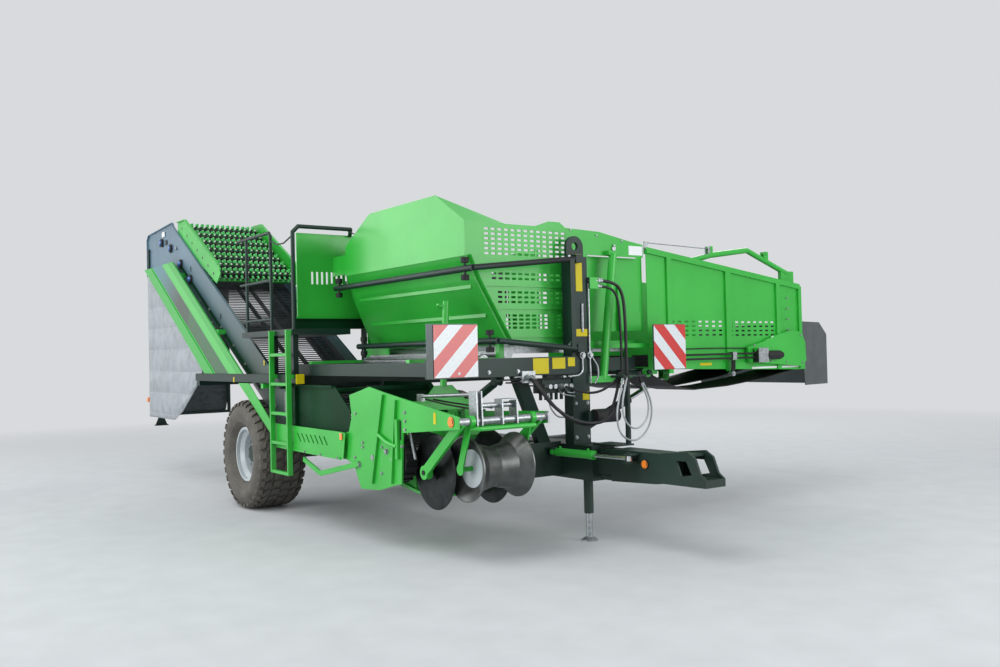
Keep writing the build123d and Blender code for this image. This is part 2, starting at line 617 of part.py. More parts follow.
def skirt():
    """Plates that carry the floor's end, and the tie down to the rails."""
    outline = [(BUNK_FOOT_X, 1750), (BUNK_FOOT_X + 20, 1480), (1700, 1480), (1760, 1560), (1760, 1740)]
    shape = plate_xz(outline, BUNK_FOOT_Y - 90, BUNK_FOOT_Y - 82)
    shape += plate_xz([(BUNK_FOOT_X, 1730), (1760, 1730), (1760, 1750), (BUNK_FOOT_X, 1750)],
                      BUNK_FOOT_Y - 90, BUNK_FOOT_Y + 10)
    for x in TIE_X:
        shape += block(x, x + 60, BUNK_FOOT_Y - 40, BUNK_FOOT_Y + 10, BED_RAIL_Z[1], BUNK_Z[0] + 20)
        shape += block(x, x + 40, 990, 1070, BED_RAIL_Z[1], BUNK_Z[0] + (20 if x < 2000 else 0))
    # ties to the right rail; the front one steps back round the depth spindle's sweep
    low, high, inner = BED_RAIL_Z[1], BED_RAIL_Z[1] + 30, BUNK_FOOT_Y - 235
    shape += block(TIE_X[0], TIE_X[0] + 60, -1250, BUNK_FOOT_Y + 10, low, high)
    shape += block(TIE_X[1], TIE_X[1] + 60, inner - 60, BUNK_FOOT_Y + 10, low, high)
    shape += block(TIE_STEP_X, TIE_X[1] + 60, inner - 60, inner, low, high)
    shape += block(TIE_STEP_X, TIE_STEP_X + 60, -1250, inner, low, high)
    return shape + block(1260, BUNK_X[0] + 100, 990, BUNK_Y[1], BUNK_Z[0], BUNK_Z[0] + 20)


def bunker_floor():
    """Slatted floor conveyor on its drum at the low right edge."""
    x0, x1 = BUNK_FOOT_X + 60, POCKET_X - 20
    shape = block(x0, x1, -380, 990, 1650, 1725)
    for k in range(12):
        y = -340 + k * 110
        shape += block(x0 + 30, x1 - 30, y, y + 35, 1725, 1729)
    drum = cyl_x(-400, 1650, 118, x0, x1)
    return shape + drum


def tail_drum():
    """Ribbed steel drum that shows under the bunker's right wall."""
    y, z = BUNK_FOOT_Y - 160, 1600
    shape = cyl_x(y, z, 90, TIE_X[0] + 60, TIE_X[1])
    for k in range(6):
        shape += Pos(0, y, z) * Rot(60 * k, 0, 0) * block(1490, 3490, -9, 9, 40, 66)
    return shape


def bunker_hood():
    """Slotted end plate at the rear of the bunker and its cheek."""
    slots = [(-1130 + 55 * k, 2480, 24, 130) for k in range(9)]
    outline = [(-1300, 2080), (-1300, 2940), (1000, 2940), (1000, 2080)]
    shape = slotted_yz(outline, slots, HOOD_X, HOOD_X + 15)
    shape -= block(HOOD_X - 5, HOOD_X + 20, TRANS_Y[0] - 10, TRANS_Y[1] + 10, 2070, 2700)
    shape += block(HOOD_X + 15, BUNK_X[0], -895, -885, 2500, 2700)
    shape += block(HOOD_X, HOOD_X + 15, -1340, -175, PLAT_Z, 2080)
    for y in (-500, 960):
        shape += block(HOOD_X, HOOD_X + 15, y, y + 40, BED_RAIL_Z[1], 2080)
        shape += block(960, HOOD_X + 15, y, y + 40, BED_RAIL_Z[1], BED_RAIL_Z[1] + 30)
    return shape


# ------------------------------------------------------------------- trough
def trough_wall_points():
    (ya, za), (yb, zb) = TROUGH_HIGH
    return [(ya, 1472), (ya, za), (yb, zb), (yb + 85, 1405), (yb - 60, 1405)]


def rim_z(y):
    (ya, za), (yb, zb) = TROUGH_HIGH
    return za + (zb - za) * (y - ya) / (yb - ya)


def trough():
    """Side walls with ribs and a rim, floor, hinge eyes and the cylinder's cheeks."""
    x0, x1 = TROUGH_X
    y0, y1 = HINGE_Y, TROUGH_END
    t = 6
    slots = rows_of_slots(1570, 2275, 1930, 4, pitch=(100, 45), size=(50, 18))
    slots += rows_of_slots(2430, 3100, 1925, 4, pitch=(95, 45), size=(50, 18))
    outline = trough_wall_points()
    shape = slotted_yz(outline, slots, x1 - t, x1) + plate_yz(outline, x0, x0 + t)
    shape += plate_yz([(y0, 1480), (y1, 1480), (y1 + 60, 1480), (y1 + 60, 1490), (y0, 1490)], x0, x1)
    rim = sheet_outline([(y1, rim_z(y1)), (y0, rim_z(y0))], 55.0)
    shape += plate_yz(rim, x1, x1 + TROUGH_RIB)
    shape += plate_yz(rim, x0 - TROUGH_RIB, x0)
    # upright ribs: y, width
    for y, w in ((1490, 60), (2340, 80), (3150, 60), (3530, 50)):
        for x in (x1, x0 - TROUGH_RIB):
            shape += block(x, x + TROUGH_RIB, y, y + w, 1420, rim_z(y + w) - 20)
    for y in (1500, 2300, 3100):
        shape += block(x0, x1, y, y + 40, 1440, 1480)
    for x in (x0 + 5, x1 - 45):
        shape += ring_x(HINGE_Y, HINGE_Z, 90, 50 + RUN_GAP, x, x + 40)
        shape += block(x, x + 40, HINGE_Y - 30, HINGE_Y + 120, HINGE_Z + 42, HINGE_Z + 46)
        shape += block(x, x + 40, HINGE_Y + 32, HINGE_Y + 120, HINGE_Z - 20, HINGE_Z + 46)
    shape += far_cheeks(*TROUGH_CYL[:3])
    cx, cy, cz = TROUGH_CYL[1]
    for x in (cx - EYE_W / 2 - EYE_GAP - 12, cx + EYE_W / 2 + EYE_GAP):
        shape += block(x, x + 12, cy - 45, cy + 45, cz, 1482)
    return shape


def trough_link():
    """Bent tube over the rim, its clevises, and the taut rod that pulls it."""
    x = TROUGH_X[1] - 70
    knees = [(x, 1940, 2555), (x, 2220, 2620), (x, 2790, 2695), (x, 3440, 2470)]
    shape = tube_run(knees, 58)
    shape += block(x - 20, x + 20, 1905, 1960, rim_z(1940) - 60, 2560)
    shape += block(x - 20, x + 20, 3330, 3545, rim_z(3480) - 40, 2490)
    for y, z in ((2200, 2620), (3080, 2600)):
        shape += block(x - 30, x - 18, y - 30, y + 30, z, z + 90)
        shape += block(x + 18, x + 30, y - 30, y + 30, z, z + 90)
        shape += cyl_x(y, z + 65, 26, x - 36, x + 36)
    # the rod's foot keeps beside the pocket's wall, which it dips past as the trough lifts
    foot = TROUGH_X[1] - 28
    shape += bar((foot, 1260, 2700), (x, 2200, 2685), 10)
    shape += block(foot - 8, foot + 8, 1235, 1275, rim_z(1250) - 60, 2712)
    for start, y in ((foot, 1235), (x, 1905), (x, 3330)):
        shape += block(start, TROUGH_X[1] - 6, y, y + 40, rim_z(y) - 60, rim_z(y) - 30)
    return shape


def trough_drive():
    """Round cover over the belt's drive, oil motor and its two pipes."""
    x = TROUGH_X[1] + TROUGH_RIB
    cover = [(2620, 1660), (2880, 1715), (3120, 1790), (3350, 1835), (3520, 1815), (3580, 1700),
             (3590, 1500), (3520, 1440), (3000, 1480), (2650, 1500)]
    shape = plate_yz(cover, x, x + 34)
    shape += block(x + 34, x + 110, 2700, 2860, 1500, 1650)
    motor = cyl_y(x + 72, 1572, 96, 2860, 3080) + cyl_y(x + 72, 1572, 70, 3080, 3120)
    shape += motor
    for z in (1552, 1596):
        shape += cyl_y(x + 60, z, 20, 1420, 2700)
    shape += block(x, x + 70, 2345, 2405, 1535, 1615)
    shape += block(x, x + 70, 1495, 1535, 1535, 1615)
    return shape


def trough_flap():
    """Rubber apron round the outlet, open below."""
    x0, x1 = TROUGH_X[0] + 6, TROUGH_X[1] - 6
    y0, y1 = TROUGH_END + 65, FLAP_Y
    side = [(y0 - 40, 1935), (y1 - 130, 1925), (y1, 1790), (y1, 1230), (y0 + 20, 1225)]
    shape = plate_yz(side, x0, x0 + 6) + plate_yz(side, x1 - 6, x1)
    end = sheet_outline([(y1 - 130, 1925), (y1, 1790), (y1, 1230)], -6.0)
    return shape + plate_yz(end, x0, x1)


def trough_belt():
    """Cleated belt round two fixed drums inside the trough."""
    x0, x1 = TROUGH_X[0] + 20, TROUGH_X[1] - 20
    shape = block(x0, x1, HINGE_Y + 60, TROUGH_END - 10, 1490, 1550)
    for k in range(9):
        y = HINGE_Y + 120 + k * 250
        shape += block(x0 + 30, x1 - 30, y, y + 12, 1550, 1600)
    # slack lower run, either side of the lift cylinder
    slack = sheet_outline([(1330, 1400), (1600, 1290), (1900, 1240), (2400, 1260), (3000, 1320), (3500, 1400)], 8.0)
    for xa, xb in ((x0 + 28, TROUGH_CYL[1][0] - 90), (TROUGH_CYL[1][0] + 90, x1 - 28)):
        shape += plate_yz(slack, xa, xb)
        shape += block(xa, xb, 1322, 1334, 1400, 1480) + block(xa, xb, 3496, 3508, 1400, 1480)
    return shape


# -------------------------------------------------------------- dig unit
def dig_frame():
    y0, y1 = UNIT_Y
    near = [(2520, 1310), (2900, 1390), (3180, 1345), (4310, 1185), (4310, 1090), (3470, 1020), (3440, 600),
            (3260, 560), (3060, 510), (2720, 490), (2590, 690), (LIFT_X - 90, 780), (LIFT_X - 90, 940),
            (2500, 980), (2560, 1120)]
    far = [(2560, 1100), (3300, 1150), (4310, 1185), (4310, 1090), (3470, 1000), (3440, 620), (2900, 560),
           (2600, 720), (LIFT_X - 90, 780), (LIFT_X - 90, 940)]
    shape = plate_xz(near, y0, y0 + 15) + plate_xz(far, y1 - 15, y1)
    # folded ribs on the near plate's outer face: foot, head
    for foot, head in (((2960, 560), (3170, 1330)), ((3300, 590), (3390, 1290))):
        shape += beam((foot[0], y0 - 12, foot[1]), (head[0], y0 - 12, head[1]), 26, 14)
    # bent stone deflector that runs back under the wheel guard
    bend = sheet_outline([(1530, 640), (1920, 530), (2800, 700)], 48.0)
    shape += plate_xz(bend, y0 - 22, y0 - 8) & block(1500, 2700, y0 - 30, y0 + 5, 500, 900)
    shape += block(2560, 2690, y0 - 10, y0, 690, 730)
    shape += cyl_y(3060, 1090, 60, y0 + 15, y1 - 15) + cyl_y(2930, 560, 50, y0 + 15, y1 - 15)
    shape -= cyl_y(LIFT_X, LIFT_Z, 60 + RUN_GAP, y0 - 5, y1 + 5)
    shape += unit_share() + disc_arms() + unit_yoke()
    shape += far_cheeks(*LIFT_CYL[:3])
    cx, cy, cz = LIFT_CYL[1]
    for y in (cy - EYE_W / 2 - EYE_GAP - 12, cy + EYE_W / 2 + EYE_GAP):
        shape += block(cx - 110, cx - 10, y, y + 12, 1070, 1160)
    shape -= cyl_y(*DIG_WEB[0], 50 + RUN_GAP, y0 - 5, y1 + 5)
    return shape + cyl_y(HAULM_X, HAULM_Z, 50, y0 + 15, HAULM_Y[1] + 15)


def unit_share():
    """Lifting share between the discs, with its carrier."""
    shape = plate_xz([(2905, 545), (3560, 470), (3575, 480), (2905, 590)], DISC_Y[0] + 40, DISC_Y[1] - 40)
    for y in (DISC_Y[0] + 60, DISC_Y[1] - 72):
        shape += plate_xz([(3070, 560), (3070, 1090), (3120, 1090), (3300, 510)], y, y + 12)
    return shape


def disc_arms():
    """Arms from the front pipe down to the discs' bearings, outside each disc."""
    shape = None
    for y, side in zip(DISC_Y, (-1, 1)):
        a = y + side * 95
        arm = beam((PIPE_X, a + side * 5, PIPE_Z), (DISC_X, a, DISC_Z), 28, 82)
        arm += cyl_y(DISC_X, DISC_Z, 112, a - side * 40, a + side * 14)
        arm -= cyl_y(DISC_X, DISC_Z, 40 + RUN_GAP, a - 100, a + 100)
        shape = arm if shape is None else shape + arm
    return shape


def unit_yoke():
    """Front pipe, cross beam with its gusset, and the depth spindle."""
    y0, y1 = UNIT_Y
    shape = cyl_y(PIPE_X, PIPE_Z, 60, y0, y1)
    # cross beam, stepped down on the left to pass under the lift cylinder
    shape += block(3400, 3480, y0 + 15, -720, 1190, 1270)
    shape += block(3410, 3470, -780, -720, 960, 1190) + block(3410, 3470, -720, y1 - 15, 960, 1030)
    gusset = [(-1175, 1270), (-1060, 1395), (-890, 1395), (-760, 1270)]
    shape += plate_yz(gusset, 3432, 3448)
    shape += bar(*SPINDLE, 58)
    x, y, z = SPINDLE[1]
    return shape + bar((x, y, z - 60), (x, y - 90, z - 30), 24)


def depth_brackets():
    """Zinc-plated clamps on the front pipe, their tie bar and adjusting rod."""
    shape = None
    # y and upper edge of each clamp plate
    for y, top in ((-1225, 1370), (-1180, 1370), (-985, 1290), (-845, 1290)):
        plate = plate_xz([(4200, 1106), (4200, top), (4300, top), (4310, 1106)], y, y + 12)
        plate -= cyl_y(PIPE_X, PIPE_Z, 60 + RUN_GAP, y - 5, y + 20)
        shape = plate if shape is None else shape + plate
    shape += cyl_y(4240, 1255, 42, -1225, -833)
    shape += block(4200, 4300, -985, -833, 1290, 1300)
    shape += bar((4240, -1197, 1345), (3440, -1197, 1310), 30)
    return shape + block(3400, 3470, -1216, -1178, 1270, 1330)


def disc(k):
    """Coulter with a bevelled edge, its hub and stub shaft."""
    side = (-1, 1)[k]
    y, r = DISC_Y[k], DISC_D / 2
    blade = [(20, -3), (r - 25, -3), (r, 0), (r - 25, 3), (20, 3)]
    shape = turned([(0, -3)] + blade[1:4] + [(0, 3)], DISC_X, y, DISC_Z)
    shape += cyl_y(DISC_X, DISC_Z, 130, y - 20, y + 20)
    return shape + cyl_y(DISC_X, DISC_Z, 40, y, y + side * 116)


def diabolo():
    """Waisted steel roller with dished ends."""
    y0, y1 = ROLL_Y
    r, half = ROLL_D / 2, (ROLL_Y[1] - ROLL_Y[0]) / 2
    bore = 20 + RUN_GAP / 2
    skin = [(bore, -half + 60), (150, -half + 60), (r - 12, -half), (r, -half), (r, -half + 12), (190, -half + 100),
            (158, 0)]
    profile = skin + [(a, -b) for a, b in skin[-2::-1]]
    return turned(profile, ROLL_X, (y0 + y1) / 2, ROLL_Z)


def roller_arm():
    """Yoke that hangs the roller from the front pipe, with the guard tube ahead of it."""
    y0, y1 = ROLL_Y[0] - 40, ROLL_Y[1] + 40
    shape = cyl_y(ROLL_X, ROLL_Z, 40, y0 - 12, y1 + 12)
    for y in (y0 - 6, y1 + 6):
        shape += beam((ROLL_X, y, ROLL_Z), (PIPE_X - 20, y, PIPE_Z), 12, 70)
        shape += cyl_y(ROLL_X, ROLL_Z, 90, y - 6, y + 6)
        shape += cyl_y(PIPE_X, PIPE_Z, 92, y - 20, y + 20)
    shape += tube_run([(PIPE_X, y0 - 6, PIPE_Z - 55), (4345, y0 + 30, 1085), (4345, y1 - 30, 1085),
                       (PIPE_X, y1 + 6, PIPE_Z - 55)], 34)
    return shape - cyl_y(PIPE_X, PIPE_Z, 60 + RUN_GAP, y0 - 50, y1 + 50)


def haulm_roller():
    """Rubber-treaded intake roller."""
    shape = cyl_y(HAULM_X, HAULM_Z, HAULM_D - 24, *HAULM_Y)
    for k in range(18):
        lug = block(HAULM_D / 2 - 16, HAULM_D / 2, *HAULM_Y, -12, 12)
        shape += Pos(HAULM_X, 0, HAULM_Z) * Rot(0, 20 * k, 0) * lug
    return shape - cyl_y(HAULM_X, HAULM_Z, 50 + RUN_GAP, HAULM_Y[0] - 5, HAULM_Y[1] + 5)


def dig_web():
    y0, y1 = DIG_WEB_Y
    return stadium(*DIG_WEB, DIG_WEB_R + BELT_T, y0, y1) - stadium(*DIG_WEB, DIG_WEB_R, y0 - 5, y1 + 5)


def dig_web_roller(k):
    """The rear one is a tube that runs on the lift shaft."""
    x, z = DIG_WEB[k]
    shape = cyl_y(x, z, 2 * DIG_WEB_R - RUN_GAP, DIG_WEB_Y[0] + 2, DIG_WEB_Y[1] - 2)
    if k:
        return shape - cyl_y(x, z, 60 + RUN_GAP, UNIT_Y[0], UNIT_Y[1])
    return shape + cyl_y(x, z, 50, UNIT_Y[0] - 15, UNIT_Y[1] + 15)


# ------------------------------------------------------------------ drawbar
def drawbar():
    """Tapered box with a fork round the steering pin and a pierced hitch bracket."""
    x0, y = STEER_X, STEER_Y
    z0, z1 = 560, 820
    shape = plate_xz([(x0 + 90, z0), (x0 + 90, z1 + 10), (4950, 830), (4950, 600), (4850, 585)], y - 110, y + 110)
    bracket = [(4900, 835), (5180, 865), (5260, 820), (5310, 700), (TIP_X, 660), (TIP_X, 600), (4900, 595)]
    hole = [(5060, 790), (5170, 790), (5225, 690), (5110, 670)]
    for ya in (y - 110, y + 90):
        shape += plate_xz(bracket, ya, ya + 20) - plate_xz(hole, ya - 5, ya + 25)
    shape += block(4940, TIP_X, y - 110, y + 110, 600, 660)
    shape += block(4950, 5180, y - 110, y + 110, 822, 840)
    for za, zb in ((z0, 595), (785, z1)):
        shape += block(x0 - 80, x0 + 100, y - 80, y + 80, za, zb) + cyl_z(x0, y, 160, za, zb)
    shape -= cyl_z(x0, y, 70 + RUN_GAP, z0 - 5, z1 + 5)
    shape -= cyl_z(HITCH_X, y, 50, 590, 670)
    shape += far_cheeks(*STEER_CYL[:3])
    sx, sy, sz = STEER_CYL[1]
    for z in (sz - EYE_W / 2 - EYE_GAP - 12, sz + EYE_W / 2 + EYE_GAP):
        shape += block(sx - 45, sx + 45, sy, y - 105, z, z + 12)
    return shape


def jack_leg():
    """Round leg on a dished foot."""
    shape = cyl_z(JACK_X, JACK_Y, JACK_D, 12, 640)
    foot = Pos(JACK_X, JACK_Y, 12) * Cone(75, 40, 24, align=(Align.CENTER, Align.CENTER, Align.MIN))
    return shape + cyl_z(JACK_X, JACK_Y, 150, 0, 12) + foot


# ---------------------------------------------------------------- cylinders
def across(p, axis, d, half):
    v, c = Vector(*axis), Vector(*p)
    return bar(tuple(c - v * half), tuple(c + v * half), d)


def cheek(p, axis, side, d, first, last):
    """Round plate beside an eye, between two distances along the pin's axis."""
    v, c = Vector(*axis) * side, Vector(*p)
    return bar(tuple(c + v * first), tuple(c + v * last), d)


def ears(base, rod_eye, axis, tube_d, rod_d, length, start):
    """Two cheeks and the pin that hold the tube's eye at its base."""
    inner = EYE_W / 2 + EYE_GAP
    shape = across(base, axis, PIN_D, inner + 14)
    for side in (-1, 1):
        shape += cheek(base, axis, side, 76, inner, inner + 12)
    return shape


def far_cheeks(base, rod_eye, axis):
    """Cheeks at the open end: the rod's eye floats between them."""
    inner = EYE_W / 2 + EYE_GAP
    shape = None
    for side in (-1, 1):
        piece = cheek(rod_eye, axis, side, 90, inner, inner + 12)
        piece += cheek(rod_eye, axis, side, PIN_D + 12, inner + 12, inner + 22)
        shape = piece if shape is None else shape + piece
    return shape


def cyl_frame(base, rod_eye, axis):
    d = Vector(*rod_eye) - Vector(*base)
    return Plane(origin=base, x_dir=d, z_dir=axis), d.length


def tube_part(base, rod_eye, axis, tube_d, rod_d, length, start):
    """Cylinder tube: eye, neck, barrel with its gland and two oil ports."""
    plane, total = cyl_frame(base, rod_eye, axis)
    shape = Cylinder(32, EYE_W) + Pos(26, 0, 0) * Box(52, 44, EYE_W)
    shape += bar((48, 0, 0), (length, 0, 0), tube_d)
    shape += bar((length - 40, 0, 0), (length, 0, 0), tube_d + 8)
    shape -= bar((66, 0, 0), (length + 1, 0, 0), rod_d + RUN_GAP)
    for x in (90, length - 70):
        shape += bar((x, 0, tube_d / 2 - 4), (x, 0, tube_d / 2 + 16), 22)
    shape -= Cylinder(PIN_D / 2 + RUN_GAP / 2, EYE_W + 2)
    return plane * shape


def rod_part(base, rod_eye, axis, tube_d, rod_d, length, start):
    plane, total = cyl_frame(base, rod_eye, axis)
    eye = rod_d + 24
    shape = bar((start, 0, 0), (total - eye / 2 + 6, 0, 0), rod_d)
    return plane * (shape + Pos(total, 0, 0) * Cylinder(eye / 2, EYE_W))


# ------------------------------------------------------------------- panels
def side_cover():
    """Long striped panel over the elevator's drive, with raised long edges."""
    y = -1400
    outline = [(-3960, 2985), (-2640, 2985), (-110, 1492), (-1400, 1492)]
    shape = plate_xz(outline, y, y + 10)
    (xa, za), (xb, zb), (xc, zc), (xd, zd) = outline
    for left, right in (((xa, xd), (xa + 330, xd + 330)), ((xb - 420, xc - 420), (xb, xc))):
        band = [(left[0], za), (right[0], za), (right[1], zc), (left[1], zc)]
        shape += plate_xz(band, y - 10, y)
    # stays to the channel wall: x, z
    for x, z in ((-1000, 1960), (-2500, 2760), (-3700, 2915)):
        shape += block(x, x + 80, y + 10, CHAN_Y[0], z, z + 60)
    return shape


def rear_frame():
    """Light frame under the elevator's head that carries the curtains."""
    near, far = (CHAN_Y[0] - 26, CHAN_Y[0] - 1), (-170, -130)
    x = -4085
    shape = block(x, x + 40, *near, 850, 3300) + block(x, x + 40, *far, 850, 2960)
    for z in (850, 2855):
        shape += block(x, x + 40, near[0], far[1], z, z + 40)
    for y in (near, far):
        shape += block(x + 40, -1650, *y, 1350, 1390)
    shape += block(x, x + 40, near[0], CHAN_Y[0], 2940, 3300)
    shape += block(x, x + 40, CHAN_Y[1], far[1], 2940, 2960)
    # splayed foot below the near corner
    shape += plate_yz([(-1200, 850), (-1140, 850), (-1085, 722), (-1255, 722)], x + 10, x + 22)
    return shape + block(x - 30, x + 70, -1260, -1080, 710, 722)


def curtain_side():
    outline = [(-4088, 2930), (-4088, 850), (-2880, 850), (-2510, 985), (-1720, 1440), (-1720, 1600), (-3900, 2930)]
    return plate_xz(outline, -1329, -1326)


def curtain_rear():
    return plate_yz([(-1326, 870), (-1326, 2880), (-130, 2880), (-130, 1250), (-190, 880)], -4088, -4085)


def wheel_guard():
    """Slanted and level guard of one sheet, with seven slots and a folded lower edge."""
    y = PLAT_Y[0]
    outline = [(-150, 1390), (160, 1390), (800, 985), (2440, 975), (2400, 722), (880, 740), (790, 860)]
    shape = plate_xz(outline, y, y + 8)
    for k in range(7):
        x = 1440 + 100 * k
        shape -= plate_xz([(x, 915), (x + 30, 915), (x + 105, 835), (x + 75, 835)], y - 5, y + 15)
    shape += plate_xz([(880, 740), (2400, 722), (2402, 745), (882, 763)], y - 8, y)
    shape += plate_xz([(2404, 722), (2440, 975), (2500, 965), (2455, 735)], y, y + 6)
    shape += block(500, 560, y + 8, CHAN_Y[0], 1340, 1390)
    shape += block(1400, 1460, y + 8, CHAN_Y[0] - SHEET, 790, 840)
    return shape


def intake_sides():
    """Walls that carry the elevator's low end down to the digging unit."""
    outline = [(1050, 1385), (2020, 1385), (2345, 1160), (2345, CHAN_FLOOR), (1096, CHAN_FLOOR), (1050, 735)]
    a, b = CHAN_Y
    shape = plate_xz(outline, a - SHEET, a) + plate_xz(outline, b, b + SHEET)
    shape -= cyl_y(LIFT_X, LIFT_Z, 60 + RUN_GAP, -1400, 0)
    shape -= cyl_y(*MAIN_WEB[0], 50 + RUN_GAP, -1400, 0)
    shape += cyl_y(1960, 1330, 60, a - SHEET, b + SHEET)
    # folded rim, upright and the bottle-shaped box behind the ladder
    shape += block(1050, 2010, a - 30, a - SHEET, 1365, 1385)
    shape += block(1120, 1200, a - 50, a - SHEET, 780, 1365)
    return shape


def tool_box():
    """Small zinc box on the intake's wall."""
    return block(1000, 1110, CHAN_Y[0] - 75, CHAN_Y[0] - SHEET, 1050, 1310)


def boards():
    """Square warning boards on their backing plates."""
    x = BEAM_X + 76
    shape = block(x, x + 6, -1337, -1337 + BOARD, 1470, 1470 + BOARD)
    shape += block(x - 6, x, -1400, -1337 + BOARD, 1462, 1478 + BOARD)
    shape += block(x, x + 6, 1090, 1090 + BOARD, 1470, 1470 + BOARD)
    return shape + block(x - 6, x, 1086, 1094 + BOARD, 1466, 1474 + BOARD)


def front_stay():
    """Leaning green tube beside the post and the arm that carries the left board."""
    shape = bar((3750, 720, 2560), (3750, 560, 1400), 78)
    shape += block(BUNK_X[1], 3760, 660, 780, 2545, 2585)
    shape += block(3740, 3780, POST_Y[1], 760, 1370, 1430)
    shape += block(3780, 3930, 640, 760, 1410, 1430)
    # clamp on the post for the hoses that cross to the trough
    shape += block(BEAM_X + 55, BEAM_X + 95, POST_Y[1], 400, 2215, 2315)
    shape += block(3735, 3765, 600, 1180, 1680, 1720)
    return shape + block(3765, BEAM_X + 70, 1140, 1180, 1680, 1720)


def guard_rail():
    """Two bent tubes round the bunker's right front, joined beside the post."""
    x = BEAM_X + 100
    y, low = BUNK_Y[0] - 55, -720
    shape = tube_run([(1370, y, 2360), (x, y, 2360)], 56) + bar((x, y, 2360), (x, 150, 2475), 50)
    shape += tube_run([(1400, low, 1760), (x, low, 1760)], 56) + bar((x, low, 1760), (x, 150, 1680), 50)
    shape += block(x - 25, x + 25, 55, 105, 1690, 2465)
    for z in (2440, 1650):
        shape += block(BEAM_X + 60, x + 28, 120, 200, z, z + 70)
    # rubber stops above and below each tube end: x, y, z
    for sx, sy, sz in ((1450, y, 2360), (3780, y, 2360), (1520, low, 1760), (3780, low, 1760)):
        shape += cyl_z(sx, sy, 70, sz - 95, sz - 50) + cyl_z(sx, sy, 70, sz + 50, sz + 95)
        shape += cyl_z(sx, sy, 24, sz - 60, sz + 60)
    for sz in (2360, 1760):
        ya = y if sz > 2000 else low
        for sx in (1820, 3480):
            shape += bar((sx, ya, sz), (sx, wall_y(sz + 12), sz), 24)
    return shape


def valve_block():
    """Valve bank under the front beam, with its coils and pipe stubs."""
    shape = block(3720, 3850, -230, 90, 1300, 1420)
    for k in range(5):
        y = -200 + 58 * k
        shape += cyl_x(y, 1360, 40, 3850, 3930) + cyl_z(3785, y, 30, 1240, 1300)
    shape += block(3750, 3820, -150, 10, 1420, BEAM_Z[0])
    # manifold on the beam's face that feeds the parked hoses
    return shape + block(BEAM_X + 70, BEAM_X + 100, -480, -340, 1400, 1500)


def oil_filter():
    """Round filter beside the post."""
    shape = cyl_y(BEAM_X + 130, 1080, 125, POST_Y[1] - 20, POST_Y[1] + 250)
    return shape + block(BEAM_X + 60, BEAM_X + 130, POST_Y[1] - 80, POST_Y[1] - 20, 1040, 1120)


def hose_stand():
    """Post over the drawbar's fork with a hook for the parked hoses."""
    y = 365
    shape = block(4000, 4300, 200, y + 40, SPINE_Z[1], SPINE_Z[1] + 14)
    shape += cyl_z(4275, y, 48, SPINE_Z[1], 1430)
    shape += block(4215, 4380, y - 125, y + 125, 1430, 1442)
    # rolled edge that the parked hoses hang over
    return shape + cyl_x(y - 125, 1436, 24, 4215, 4380) + cyl_x(y + 125, 1436, 24, 4215, 4380)


# -------------------------------------------------------------------- hoses
def hose(diameter, points):
    """Hose on straight runs joined by arcs as wide as the runs allow, ended at its plate."""
    runs = [Vector(*q) - Vector(*p) for p, q in zip(points, points[1:])]
    radii = []
    for a, b in zip(runs, runs[1:]):
        half_turn = radians(a.get_angle(b)) / 2
        radii.append(0.45 * min(a.length, b.length) / tan(half_turn))
    path = FilletPolyline(*points, radius=radii)
    print("hose", diameter, "length", round(path.length), "tightest bend", round(min(radii)))
    section = Plane(origin=path @ 0, z_dir=path % 0) * Circle(diameter / 2)
    line = sweep(section, path=path)
    for plate in ((4200, 4400, 230, 500, 1430, 1460), (3800, 3900, -500, -320, 1390, 1510)):
        line -= block(*plate)
    return line


